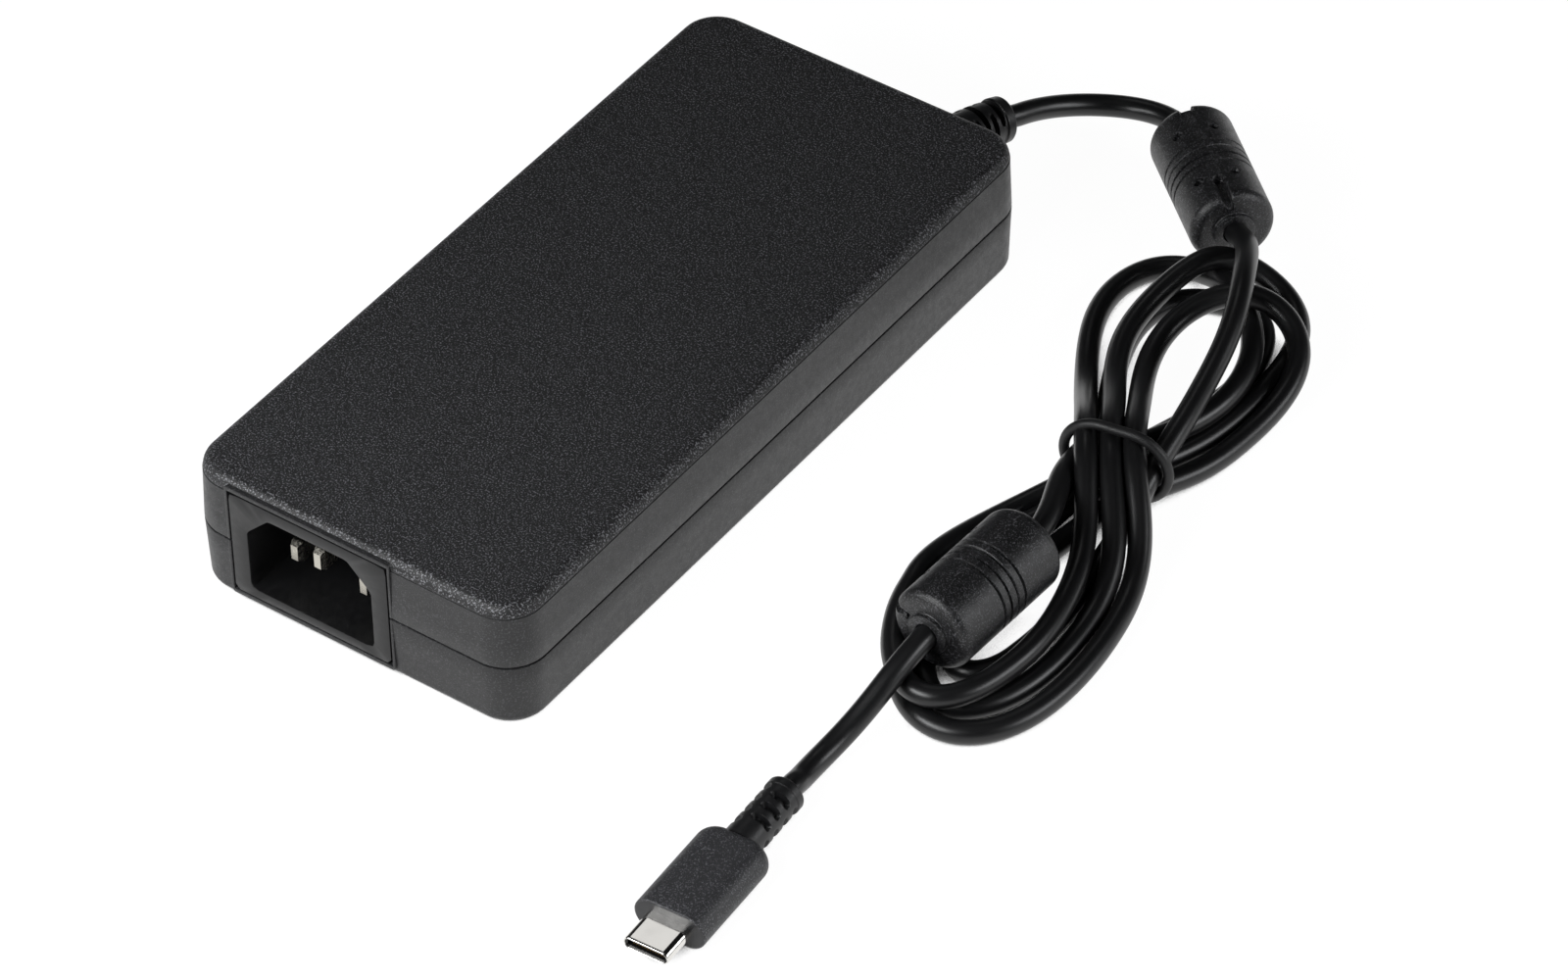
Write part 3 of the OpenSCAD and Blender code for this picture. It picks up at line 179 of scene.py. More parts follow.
def settle(path, diameter, step, held):
    """Lets the strands of a path push each other towards a diameter apart, with none of them under the floor.

    Each round moves two points that are nearer than a diameter away from each other along the line between
    them, by half of what is missing, then eases the bends by the fourth difference and keeps the axis a
    radius up.
    """
    rounds = 260
    nearby = diameter + 1.2
    push_share = 0.9
    ease_share = 0.6
    path = path.copy()
    index = np.arange(len(path))
    apart = np.abs(index[:, None] - index[None, :]) > 3 * diameter / step
    free = 1.0 - held[:, None]
    for turn in range(rounds):
        if turn % 10 == 0:
            gap = np.linalg.norm(path[:, None, :] - path[None, :, :], axis=2)
            a, b = np.nonzero(apart & (gap < nearby))
        line = path[a] - path[b]
        dist = np.maximum(np.linalg.norm(line, axis=1), 1e-6)
        short = np.maximum(diameter - dist, 0)
        push = np.zeros_like(path)
        count = np.zeros(len(path))
        np.add.at(push, a, line / dist[:, None] * short[:, None] * 0.5)
        np.add.at(count, a, short > 0)
        path += push / np.maximum(count, 1)[:, None] * free * push_share
        bend = np.zeros_like(path)
        bend[2:-2] = (4 * path[1:-3] + 4 * path[3:-1] - 6 * path[2:-2] - path[:-4] - path[4:]) / 16
        path += ease_share * bend * free
        path[:, 2] = np.maximum(path[:, 2], diameter / 2)
    return path


def carried(path, section):
    """A section carried along a path: each point is path + across * side + up * top, with side kept level.

    section is (rows, points, 2): one outline for each point of the path, or one for all of them.
    """
    path = np.asarray(path, float)
    along = np.gradient(path, axis=0)
    along /= np.linalg.norm(along, axis=1)[:, None]
    side = np.cross(along, [0, 0, 1.0])
    side /= np.linalg.norm(side, axis=1)[:, None]
    top = np.cross(side, along)
    section = np.broadcast_to(section, (len(path),) + np.shape(section)[-2:])
    return path[:, None, :] + section[:, :, :1] * side[:, None, :] + section[:, :, 1:] * top[:, None, :]


def around(sides):
    """Angles at equal steps once round, in radians."""
    return np.linspace(0, 2 * np.pi, sides, endpoint=False)


def ring(radius, angle):
    """Points (r cos a, r sin a) at given radii and angles, which broadcast against each other."""
    return np.stack([radius * np.cos(angle), radius * np.sin(angle)], -1)


def stadium(width, height, sides):
    """A slot with round ends, its points spread evenly along two half circles and the straights between."""
    r = height / 2
    straight = width - height
    s = np.linspace(0, 2 * straight + 2 * np.pi * r, sides, endpoint=False)
    marks = np.cumsum([0, straight, np.pi * r, straight, np.pi * r])
    k = np.searchsorted(marks, s, side="right") - 1
    t = s - marks[k]
    a = t / r
    stretch = [k == 0, k == 1, k == 2]
    x = np.select(stretch, [-straight / 2 + t, straight / 2 + r * np.sin(a), straight / 2 - t],
                  -straight / 2 - r * np.sin(a))
    z = np.select(stretch, [-r + 0 * t, -r * np.cos(a), r + 0 * t], r * np.cos(a))
    return np.stack([x, z], 1)


def grid_faces(rows, cols, wrap_rows, wrap_cols):
    """The four corners of each cell of a rows by cols grid of points, wrapped round where it closes."""
    i = np.arange(rows if wrap_rows else rows - 1)
    j = np.arange(cols if wrap_cols else cols - 1)
    i, j = (m.ravel() for m in np.meshgrid(i, j, indexing="ij"))
    i2, j2 = (i + 1) % rows, (j + 1) % cols
    return np.stack([i * cols + j, i * cols + j2, i2 * cols + j2, i2 * cols + j], 1)


def mesh_piece(name, points, quads, slot, material, ngons=(), sharp=38, face_materials=None, more=()):
    """Makes a mesh object from points in millimetres and arrays of face corners, and rides it on the body."""
    mesh = bpy.data.meshes.new(name)
    points = np.asarray(points, float).reshape(-1, 3) * MM
    quads = np.asarray(quads).reshape(-1, 4)
    corners = np.concatenate([quads.ravel()] + [np.asarray(g) for g in ngons]).astype(np.int32)
    sizes = np.array([4] * len(quads) + [len(g) for g in ngons], dtype=np.int32)
    starts = np.concatenate([[0], np.cumsum(sizes)[:-1]]).astype(np.int32)
    mesh.vertices.add(len(points))
    mesh.vertices.foreach_set("co", points.ravel())
    mesh.loops.add(len(corners))
    mesh.loops.foreach_set("vertex_index", corners)
    mesh.polygons.add(len(sizes))
    mesh.polygons.foreach_set("loop_start", starts)
    mesh.polygons.foreach_set("use_smooth", np.ones(len(sizes), bool))
    for m in (material,) + tuple(more):
        mesh.materials.append(m)
    if face_materials is not None:
        mesh.polygons.foreach_set("material_index", np.asarray(face_materials, np.int32))
    mesh.update(calc_edges=True)
    if mesh.validate():
        raise RuntimeError(name + ": its faces had to be mended")
    mesh.set_sharp_from_angle(angle=math.radians(sharp))
    piece = bpy.data.objects.new(name, mesh)
    bpy.context.scene.collection.objects.link(piece)
    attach(piece, BODY)
    return piece


def outward(piece):
    """Turns a closed piece's faces outwards if its volume, summed over its triangles, comes out negative."""
    mesh = piece.data
    mesh.calc_loop_triangles()
    n = len(mesh.loop_triangles)
    tri = np.empty(n * 3, np.int32)
    mesh.loop_triangles.foreach_get("vertices", tri)
    co = np.empty(len(mesh.vertices) * 3)
    mesh.vertices.foreach_get("co", co)
    co = co.reshape(-1, 3)
    a, b, c = (co[tri.reshape(-1, 3)[:, k]] for k in range(3))
    if np.einsum("ij,ij->i", a, np.cross(b, c)).sum() < 0:
        mesh.flip_normals()
    return piece


def tube_piece(name, grid, slot, material, closed_rows=False, sharp=38, **extra):
    """A closed skin over a grid whose rows are rings, with a flat cap on each end unless its rows close."""
    rows, cols = grid.shape[:2]
    quads = grid_faces(rows, cols, closed_rows, True)
    first = list(range(cols))[::-1]
    last = list(range((rows - 1) * cols, rows * cols))
    ngons = () if closed_rows else (first, last)
    return outward(mesh_piece(name, grid, quads, slot, material, ngons, sharp, **extra))


# ---------------------------------------------------------------- finishes

def node(tree, kind, inputs=None, **settings):
    """Adds a shader node with its settings and input values, and a link where an input is a socket."""
    new = tree.nodes.new("ShaderNode" + kind)
    for key, value in settings.items():
        setattr(new, key, value)
    for key, value in (inputs or {}).items():
        if isinstance(value, bpy.types.NodeSocket):
            tree.links.new(value, new.inputs[key])
        else:
            new.inputs[key].default_value = value
    return new


def remap(tree, value, old, new):
    """The socket of a node that takes one pair of values to another pair, in a straight line between them."""
    return node(tree, "MapRange", {"Value": value, "From Min": old[0], "From Max": old[1],
                                   "To Min": new[0], "To Max": new[1]}).outputs[0]


def cleared(owner):
    """The node tree of a material or a world, emptied."""
    owner.use_nodes = True
    owner.node_tree.nodes.clear()
    return owner.node_tree


def blank(name):
    """A new node material that has only its Object coordinates, in millimetres."""
    material = bpy.data.materials.new(name)
    tree = cleared(material)
    place = node(tree, "TexCoord")
    scaled = node(tree, "VectorMath", {0: place.outputs["Object"], 1: (1000, 1000, 1000)},
                  operation="MULTIPLY")
    return material, tree, scaled.outputs[0]


def grained(name, colour, light, grain_mm, depth_mm, rough, rough_spread, fade):
    """A moulded plastic: a base colour with lighter grain tips, and a bump as deep as the tool's texture. On
    the top, the sleeves and the grip the light tips are painted glints.

    fade is how softly the base colour turns into the tips' colour: the less, the more the tips stand out as
    painted glints.
    """
    material, tree, place = blank(name)
    fine = node(tree, "TexNoise", {"Vector": place, "Scale": 1 / grain_mm, "Detail": 3.0, "Roughness": 0.6})
    broad = node(tree, "TexNoise", {"Vector": place, "Scale": 0.25 / grain_mm, "Detail": 2.0})
    tips = node(tree, "ValToRGB", {"Fac": fine.outputs[0]})
    for k, (position, shade) in enumerate(((0.54, colour), (0.57 + 0.3 * fade, light))):
        tips.color_ramp.elements[k].position = position
        tips.color_ramp.elements[k].color = linear(shade)
    gloss = remap(tree, broad.outputs[0], (0.3, 0.7), (rough - rough_spread, rough + rough_spread))
    bump = node(tree, "Bump", {"Height": fine.outputs[0], "Strength": 1.0, "Distance": depth_mm * MM})
    skin = node(tree, "BsdfPrincipled", {"Base Color": tips.outputs[0], "IOR": 1.5, "Roughness": gloss,
                                         "Normal": bump.outputs[0]})
    node(tree, "OutputMaterial", {"Surface": skin.outputs[0]})
    return material


def plated(name, colour, rough, streak_mm):
    """A plated metal: metallic, with faint drawing streaks that vary its roughness."""
    material, tree, place = blank(name)
    streak = node(tree, "TexNoise", {"Vector": place, "Scale": 1 / streak_mm, "Detail": 2.0})
    gloss = remap(tree, streak.outputs[0], (0.3, 0.7), (rough * 0.7, rough * 1.5))
    skin = node(tree, "BsdfPrincipled", {"Base Color": linear(colour), "Metallic": 1.0, "Roughness": gloss})
    node(tree, "OutputMaterial", {"Surface": skin.outputs[0]})
    return material


# Each finish: the function that makes its material, and what that function is given.
FINISH_ROWS = {
    # Spark-eroded ABS/PC on the top: near black, with a sandy grain about a third of a millimetre across,
    # whose light tips are painted glints. Its base is darker than the walls' partly for that grain and partly
    # as painted shade of a top that takes less light.
    "top": (grained, "eroded_abs_top_painted_glints_and_shade", "#0a0a0b", "#7a7a7e", 0.31, 0.09, 0.54, 0.08, 0.2),
    # Fine-textured ABS/PC on the walls: an even satin grey with a barely visible grain.
    "walls": (grained, "satin_abs_walls", "#181819", "#444446", 0.3, 0.035, 0.44, 0.05, 0.4),
    # Moulded nylon of the inlet: black, satin, a little smoother than the case.
    "inlet": (grained, "moulded_nylon_inlet", "#09090a", "#0e0e0f", 0.3, 0.012, 0.4, 0.05, 0.8),
    # Soft PVC cord jacket: black, smooth, with a broad soft gloss and a faint waviness from extrusion.
    "cord": (grained, "extruded_pvc_cord", "#131314", "#161617", 3.0, 0.004, 0.34, 0.03, 0.9),
    # Moulded soft PVC of the strain relief and boot: black satin with a fine tool texture.
    "relief": (grained, "moulded_pvc_relief", "#151516", "#1b1b1d", 0.3, 0.012, 0.42, 0.05, 0.8),
    # Moulded PVC over the ferrites: near black with a fine sandy texture, whose light tips are painted
    # glints.
    "sleeve": (grained, "textured_pvc_sleeve_painted_glints", "#0c0c0d", "#58585b", 0.27, 0.07, 0.4, 0.06, 0.25),
    # Moulded PVC of the plug's grip: dark grey and matt, with a fine grain whose light tips are painted
    # glints.
    "grip": (grained, "matt_pvc_grip_painted_glints", "#29292b", "#66666a", 0.26, 0.05, 0.48, 0.05, 0.3),
    # The grip's front face comes off a polished insert: smoother than its sides, and without their sparkle.
    "grip_face": (grained, "smooth_pvc_face", "#1e1e20", "#242426", 0.4, 0.004, 0.42, 0.04, 0.9),
    # Round elastic of the tie: matt black rubber.
    "tie": (grained, "round_elastic_tie", "#121213", "#1a1a1b", 0.35, 0.02, 0.5, 0.05, 0.8),
    # Nickel-plated steel of the plug's shell: bright, with soft reflections.
    "shell": (plated, "nickel_steel_shell", "#e4e2de", 0.1, 3.0),
    # Nickel-plated brass of the inlet's pins.
    "pins": (plated, "nickel_brass_pins", "#c4c0b6", 0.24, 0.6),
    # Gold-plated contacts inside the plug's mouth.
    "contacts": (plated, "gold_contacts", "#c79a45", 0.25, 0.5),
    # Solder-masked glass epoxy: a dark green with a soft gloss.
    "board": (grained, "solder_masked_board", "#143a22", "#1b4a2c", 0.8, 0.01, 0.34, 0.05, 0.8),
    # Enamelled copper wire, wound close.
    "copper": (plated, "enamelled_copper", "#b5642f", 0.28, 0.5),
    # Sintered ferrite: dark grey and matt, faintly porous.
    "ferrite": (grained, "sintered_ferrite", "#26272a", "#333438", 0.4, 0.03, 0.55, 0.06, 0.7),
    # Stamped aluminium of the heatsinks, shield and spreader.
    "aluminium": (plated, "stamped_aluminium", "#c3c5c8", 0.35, 1.5),
    # Zinc-plated steel of the screws.
    "screws": (plated, "zinc_steel_screws", "#b9b8b0", 0.28, 0.6),
    # Heat-shrunk sleeve of the electrolytic capacitors: dark blue and glossy.
    "capacitor": (grained, "shrunk_pet_sleeve", "#141c30", "#182238", 1.0, 0.008, 0.3, 0.04, 0.8),
    # Moulded epoxy of the semiconductors: black, with a dry satin surface.
    "epoxy": (grained, "moulded_epoxy", "#121213", "#1c1c1d", 0.3, 0.02, 0.48, 0.05, 0.7),
    # Dipped and boxed film capacitors: dull yellow.
    "film": (grained, "boxed_film_capacitor", "#7e6620", "#8d7428", 0.6, 0.01, 0.45, 0.05, 0.8),
    # Epoxy-dipped ceramic disc: blue and slightly uneven.
    "disc": (grained, "dipped_disc", "#1c3f78", "#234b8a", 0.8, 0.03, 0.36, 0.05, 0.8),
    # PVC-insulated hook-up wire.
    "wire": (grained, "pvc_hookup_wire", "#3a1414", "#431818", 0.6, 0.008, 0.4, 0.04, 0.8),
    # Silicone thermal pads: grey and matt.
    "pad": (grained, "silicone_pad", "#6c747c", "#7a828a", 0.4, 0.02, 0.7, 0.05, 0.7),
    # Pressed fish paper between the board and the shield: off white and fibrous.
    "paper": (grained, "pressed_paper", "#b8b3a2", "#c8c4b4", 0.5, 0.03, 0.75, 0.05, 0.7),
}
FINISHES = {}


def finishes():
    """Makes each material once."""
    if not FINISHES:
        for key, (make, *values) in FINISH_ROWS.items():
            FINISHES[key] = make(*values)
    return FINISHES


# ---------------------------------------------------------------- sizes and settings

def number(name, default, description, **more):
    """One decimal number for the panel, with its name, default and description."""
    return FloatProperty(name=name, default=default, description=description, **more)


class CaseSizes(bpy.types.PropertyGroup):
    """Sizes of the brick's two covers."""
    width: number("Width", 67.0, "Width at the seam")
    length: number("Length", 144.0, "Length at the seam")
    height: number("Height", 24.8, "Height of the brick")
    seam: number("Seam", 12.4, "Height of the seam")
    seam_gap: number("Seam gap", 0.35, "Open gap at the seam")
    corner: number("Corner radius", 7.3, "Radius of the upright corners")
    top_edge: number("Top edge", 1.9, "Radius of the top edge")
    bottom_edge: number("Bottom edge", 1.4, "Radius of the bottom edge")
    draft: number("Draft", 2.0, "Lean of the walls in degrees")
    wall: number("Wall", 2.2, "Thickness of the walls")
    ledge: number("Ledge", 0.12, "Step where the top's grain ends")


class InletSizes(bpy.types.PropertyGroup):
    """Sizes of the mains inlet."""
    x: number("Centre", -8.1, "Place of the inlet across the end")
    flange_z: number("Flange height", 12.5, "Height of the flange's centre")
    flange_w: number("Flange width", 31.8, "Width of the flange")
    flange_h: number("Flange size", 20.8, "Height of the flange")
    gap: number("Gap", 0.25, "Gap round the flange")
    side: number("Frame side", 0.8, "Frame beside the flange, gap included")
    rim: number("Frame rim", 1.1, "Frame above and below the flange, gap included")
    mouth_w: number("Mouth width", 25.0, "Width of the mouth")
    mouth_h: number("Mouth height", 16.6, "Height of the mouth")
    mouth_z: number("Mouth centre", 12.2, "Height of the mouth's centre")
    chamfer: number("Chamfer", 4.6, "Cut at the upper corners")
    depth: number("Depth", 16.0, "Depth of the mouth")


class LeadSizes(bpy.types.PropertyGroup):
    """Sizes of the output lead and what is on it."""
    diameter: number("Lead diameter", 4.0, "Diameter of the lead")
    length: number("Lead length", 1.25, "Length of the lead", unit="LENGTH")
    sides: IntProperty(name="Sides", default=24, description="Sides of the lead's round section")
    relief_x: number("Relief place", 14.9, "Place of the strain relief on the end")
    relief_bend: number("Relief bend", 20.0, "Bend of the strain relief in degrees")
    relief_radius: number("Relief bend radius", 47.0, "Radius of the relief's bend")
    relief_droop: number("Relief droop", 29.0, "Tip of the relief's bend in degrees")
    sleeve_d: number("Sleeve diameter", 15.0, "Diameter of a ferrite sleeve")
    sleeve_len: number("Sleeve length", 26.0, "Length of a ferrite sleeve")
    tie_w: number("Tie width", 18.6, "Width of the tie, centre to centre")
    tie_h: number("Tie height", 13.6, "Height of the tie, centre to centre")
    tie_r: number("Tie radius", 0.9, "Radius of the tie's section")


class PlugSizes(bpy.types.PropertyGroup):
    """Sizes of the plug."""
    grip_w: number("Grip width", 13.0, "Width of the grip")
    grip_h: number("Grip height", 6.6, "Thickness of the grip")
    grip_len: number("Grip length", 20.0, "Length of the grip")
    shell_w: number("Shell width", 8.25, "Width of the metal shell")
    shell_h: number("Shell height", 2.4, "Height of the metal shell")
    shell_out: number("Shell length", 6.65, "How far the shell stands out")
    boot_r: number("Boot radius", 3.3, "Radius of the boot")
    boot_len: number("Boot length", 13.7, "Length of the boot")


class StageSettings(bpy.types.PropertyGroup):
    """The camera and the light."""
    azimuth: number("Azimuth", 35.98, "Camera's angle round the object, degrees")
    elevation: number("Elevation", 42.41, "Camera's angle above the floor, degrees")
    roll: number("Roll", -0.93, "Camera's roll in degrees")
    distance: number("Distance", 1127.9, "Camera's distance from what it aims at")
    aim: FloatVectorProperty(name="Aim", default=(34.1, -0.8, 0.0), description="What the camera aims at")
    lens: number("Lens", 157.45, "Focal length in mm on a 36 mm sensor")
    floor: FloatVectorProperty(name="Floor", subtype="COLOR", default=(0.92, 0.92, 0.92),
                               description="Colour of the floor")


# ---------------------------------------------------------------- the case

def plan_loop(size, cuts):
    """A rounded rectangle as arc centres and outward directions: a point is its centre + radius * direction.

    Each corner is a quarter circle of equal steps, and the -Y side also has a point at each x in cuts.
    """
    cx, cy = size.width / 2 - size.corner, size.length / 2 - size.corner
    steps = 14
    a = np.linspace(0, np.pi / 2, steps + 1)
    centre, way = [], []
    for k, (sx, sy) in enumerate(((1, -1), (1, 1), (-1, 1), (-1, -1))):
        turn = a + (k - 1) * np.pi / 2
        centre.append(np.tile([sx * cx, sy * cy], (len(a), 1)))
        way.append(np.stack([np.cos(turn), np.sin(turn)], 1))
    cuts = np.array(sorted(cuts), float)
    centre.append(np.stack([cuts, np.full(len(cuts), -cy)], 1))
    way.append(np.tile([0.0, -1.0], (len(cuts), 1)))
    return np.vstack(centre), np.vstack(way)


def shell_grid(loop, corner, profile):
    """A profile of (offset, height) rows round a plan loop: centre + (corner + offset) * direction."""
    centre, way = loop
    offset = profile[:, 0][:, None, None]
    flat = centre[None] + (corner + offset) * way[None]
    return np.concatenate([flat, np.broadcast_to(profile[:, 1][:, None, None], flat.shape[:2] + (1,))], 2)


def cover_piece(name, outer, inner, loop, corner, window, materials, ledge_row):
    """A cover: an outer and an inner skin with the same rows, joined at the seam, closed by flat ends.

    window is (first column, last column, first row, last row) of the cells that are left out of both skins.
    """
    profile = np.vstack([outer, inner[::-1]])
    grid = shell_grid(loop, corner, profile)
    rows, cols = grid.shape[:2]
    half = len(outer)
    quads = grid_faces(rows, cols, False, True)
    row = quads[:, 0] // cols
    col = quads[:, 0] % cols
    c0, c1, r0, r1 = window
    mirror_row = rows - 2 - row
    in_rows = ((row >= r0) & (row < r1)) | ((mirror_row >= r0) & (mirror_row < r1))
    keep = ~(in_rows & (col >= c0) & (col < c1)) & (row != half - 1)
    quads = quads[keep]
    finish = (row[keep] >= ledge_row) & (row[keep] < half - 1)
    edge = []
    for c, swap in ((c0, False), (c1, True)):
        k = np.arange(r0, r1)
        outside = k * cols + c
        inside = (rows - 1 - k) * cols + c
        q = np.stack([outside, outside + cols, inside - cols, inside], 1)
        edge.append(q[:, ::-1] if swap else q)
    for k, swap in ((r0, True), (r1, False)):
        if k > 0:
            outside = k * cols + np.arange(c0, c1)
            inside = (rows - 1 - k) * cols + np.arange(c0, c1)
            q = np.stack([outside, outside + 1, inside + 1, inside], 1)
            edge.append(q[:, ::-1] if swap else q)
    # the seam faces join the first row to the last, except across the window
    c = np.arange(cols)
    c = c[(c < c0) | (c >= c1)] if r0 == 0 else c
    seam = np.stack([c, (rows - 1) * cols + c, (rows - 1) * cols + (c + 1) % cols, (c + 1) % cols], 1)
    edge.append(seam)
    quads = np.vstack([quads] + edge)
    finish = np.concatenate([finish, np.zeros(len(quads) - len(finish), bool)])
    cap_out = list(range((half - 1) * cols, half * cols))
    cap_in = list(range(half * cols, (half + 1) * cols))[::-1]
    face_materials = np.concatenate([finish, [True, False]]).astype(int)
    return mesh_piece(name, grid, quads, "case_plastic", materials[0], (cap_out, cap_in), 30,
                      face_materials=face_materials, more=(materials[1],))


def bend_outline(points, offset):
    """Moves an outline: each corner shifts along the sum of its edges' normals over one plus their dot."""
    ahead = np.roll(points, -1, axis=0) - points
    ahead /= np.linalg.norm(ahead, axis=1)[:, None]
    normal = np.stack([ahead[:, 1], -ahead[:, 0]], 1)
    last = np.roll(normal, 1, axis=0)
    return points + offset * (normal + last) / (1 + (normal * last).sum(1))[:, None]


class ADAPTER_OT_covers(bpy.types.Operator):
    """Builds the top and bottom covers with the raised frame round the mains inlet"""
    bl_idname = "adapter.covers"
    bl_label = "Covers"

    def execute(self, context):
        size = context.scene.adapter_case
        inlet = context.scene.adapter_inlet
        look = finishes()
        # the opening for the inlet ends a little inside the frame's outer sides
        overlap = 0.35
        half_w = inlet.flange_w / 2 + inlet.side - overlap
        loop = plan_loop(size, [inlet.x - half_w, inlet.x + half_w])
        cols = len(loop[0])
        for name, sign in (("top_cover_skin", 1), ("bottom_cover_skin", -1)):
            tall = size.height - size.seam if sign > 0 else size.seam
            edge = size.top_edge if sign > 0 else size.bottom_edge
            outer, ledge_row = self.profile(size, tall, edge, size.ledge if sign > 0 else 0.0)
            inner = outer.copy()
            inner[:, 0] -= size.wall
            inner[:, 1] = np.minimum(inner[:, 1], tall - size.wall)
            for skin in (outer, inner):
                skin[:, 1] = size.seam + sign * skin[:, 1]
            limit = abs(inlet.flange_z + sign * (inlet.flange_h + inlet.rim) / 2 - size.seam)
            last = int(np.searchsorted(np.abs(outer[:-2, 1] - size.seam), limit))
            piece = cover_piece(name, outer, inner, loop, size.corner, (cols - 2, cols - 1, 0, last),
                                (look["walls"], look["top"] if sign > 0 else look["walls"]), ledge_row)
            outward(piece)
            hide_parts("top_cover" if sign > 0 else "bottom_cover")
            self.frame(sign, size, inlet, look)
        self.tongue(size, loop, look)
        return {"FINISHED"}

    def profile(self, size, tall, edge, step):
        """A cover's outer profile from the seam to its flat, and its first row past the step.

        The wall rises from a small bevel and leans in by the draft, steps in where the top's grain starts,
        and turns into the flat by a quarter circle.
        """
        lean = math.tan(math.radians(size.draft))
        lip = size.seam_gap / 2
        bevel = 0.18
        wall_top = tall - edge
        step_low = wall_top - 0.35
        base = -lean * step_low
        start = base - step * 0.9
        foot = [(-bevel, lip), (-0.05, lip + 0.05), (0.0, lip + bevel), (-lean * 4, 4.0),
                (-lean * (wall_top - 0.9), wall_top - 0.9), (base, step_low)]
        ledge = [(base - step, wall_top - 0.3), (start, wall_top - 0.05)]
        arc = ring(edge, np.linspace(0, np.pi / 2, 9)[1:]) + [start - edge, wall_top]
        flat = [(start - edge - 0.6, tall), (start - edge - 2.5, tall)]
        return np.vstack([foot, ledge, arc, flat]), len(foot) + 1

    def frame(self, sign, size, inlet, look):
        """One half of the raised frame: a U-shaped bar whose outline moves in at its face for a bevel."""
        w = inlet.flange_w / 2
        h = inlet.flange_h / 2
        lip = size.seam + sign * size.seam_gap / 2
        top_out = inlet.flange_z + sign * (h + inlet.rim)
        top_in = inlet.flange_z + sign * (h + inlet.gap)
        x_out, x_in = w + inlet.side, w + inlet.gap
        round_r = 0.7
        right = ring(round_r, np.linspace(0, np.pi / 2, 7)) - round_r
        right = np.stack([inlet.x + x_out + right[:, 0], top_out + sign * right[:, 1]], 1)
        left = np.stack([2 * inlet.x - right[::-1, 0], right[::-1, 1]], 1)
        outline = np.vstack([[(inlet.x + x_out, lip)], right, left,
                             [(inlet.x - x_out, lip), (inlet.x - x_in, lip), (inlet.x - x_in, top_in),
                              (inlet.x + x_in, top_in), (inlet.x + x_in, lip)]])[::sign]
        face = -size.length / 2 - FACE_OUT
        bevel = 0.16
        grid = []
        # the outline runs anticlockwise seen from the -Y end, so its normals point out of the bar
        for out, deep in ((0.0, 2.6), (0.0, bevel), (-bevel * 0.3, bevel * 0.3), (-bevel, 0.0)):
            x, z = bend_outline(outline, out).T
            grid.append(np.stack([x, np.full(len(x), face + deep), z], 1))
        tube_piece("inlet_frame_top" if sign > 0 else "inlet_frame_bottom", np.stack(grid), "case_plastic",
                   look["walls"], sharp=30)

    def tongue(self, size, loop, look):
        """The tongue behind the seam: a bar round the case from one side of the inlet to the other."""
        loop = [np.roll(m, 1, axis=0) for m in loop]
        low, high, near, far = size.seam - 1.4, size.seam + 1.4, -1.0, -1.9
        profile = np.array([(near, low), (near, high), (far, high), (far, low)])
        grid = shell_grid(loop, size.corner, profile)
        # The tongue wears the inlet's near-black finish, not the walls': painted shade in the seam's gap.
        tube_piece("seam_tongue", grid.transpose(1, 0, 2), "case_plastic", look["inlet"])


class ADAPTER_OT_inlet(bpy.types.Operator):
    """Builds the mains inlet's housing and finishes its pins"""
    bl_idname = "adapter.inlet"
    bl_label = "Mains inlet"

    def execute(self, context):
        size = context.scene.adapter_inlet
        case = context.scene.adapter_case
        look = finishes()
        face = -case.length / 2 - FACE_OUT
        a = around(96)
        mouth = self.cut_rect(size.mouth_w / 2, size.mouth_h / 2, size.chamfer, 1.2, 0.0, a)
        flange = self.cut_rect(size.flange_w / 2, size.flange_h / 2, 0.5, 0.5, size.mouth_z - size.flange_z,
                               a)
        back = size.depth
        grid = []
        # each ring is an outline, how far it is moved out, and how far behind the face it lies
        for outline, out, deep in (
                (mouth, 1.4, back + 3), (mouth, 1.4, 2), (flange, 0, 2), (flange, 0, 0.2),
                (flange, -0.06, 0.06), (flange, -0.2, 0), (mouth, 0.35, 0), (mouth, 0.1, 0.08),
                (mouth, 0, 0.35), (mouth, -0.22, back)):
            x, z = (outline * (1 + out / np.linalg.norm(outline, axis=1))[:, None]).T
            grid.append(np.stack([size.x + x, np.full(len(a), face + deep), size.mouth_z + z], 1))
        piece = tube_piece("inlet_moulding", np.stack(grid), "inlet_plastic", look["inlet"], sharp=32)
        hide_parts("inlet_housing")
        for name in ("line_pin", "neutral_pin", "earth_pin"):
            finish_cad(name, look["pins"])
        return {"FINISHED"}

    def cut_rect(self, w, h, chamfer, radius, lift, angles):
        """The outline at given angles of a rectangle with cut upper corners and round lower ones.

        The point at an angle is where a ray from the centre meets the nearest side: the least of w / |cos|,
        h / |sin| and, above, (w + h - chamfer) / (|cos| + sin). A lower corner's points move onto its circle.
        """
        c, s = np.cos(angles), np.sin(angles)
        up, down = h - lift, h + lift
        tiny = 1e-9
        side = w / np.maximum(np.abs(c), tiny)
        reach = np.minimum(side, np.where(s > 0, up, down) / np.maximum(np.abs(s), tiny))
        cut = np.where(s > 0, (w + up - chamfer) / (np.abs(c) + np.maximum(s, tiny)), np.inf)
        reach = np.minimum(reach, cut)
        x, z = reach * c, reach * s
        cx, cz = w - radius, -(down - radius)
        out = (np.abs(x) > cx) & (z < cz)
        dx, dz = np.abs(x) - cx, z - cz
        n = np.maximum(np.hypot(dx, dz), tiny)
        x = np.where(out, np.sign(x) * (cx + dx / n * radius), x)
        z = np.where(out, cz + dz / n * radius, z)
        return np.stack([x, z], 1)


def finish_cad(name, material):
    """Gives a CAD node its material in every slot."""
    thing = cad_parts[name]
    if not thing.data.materials:
        thing.data.materials.append(material)
    for slot in thing.material_slots:
        slot.material = material


# ---------------------------------------------------------------- the lead

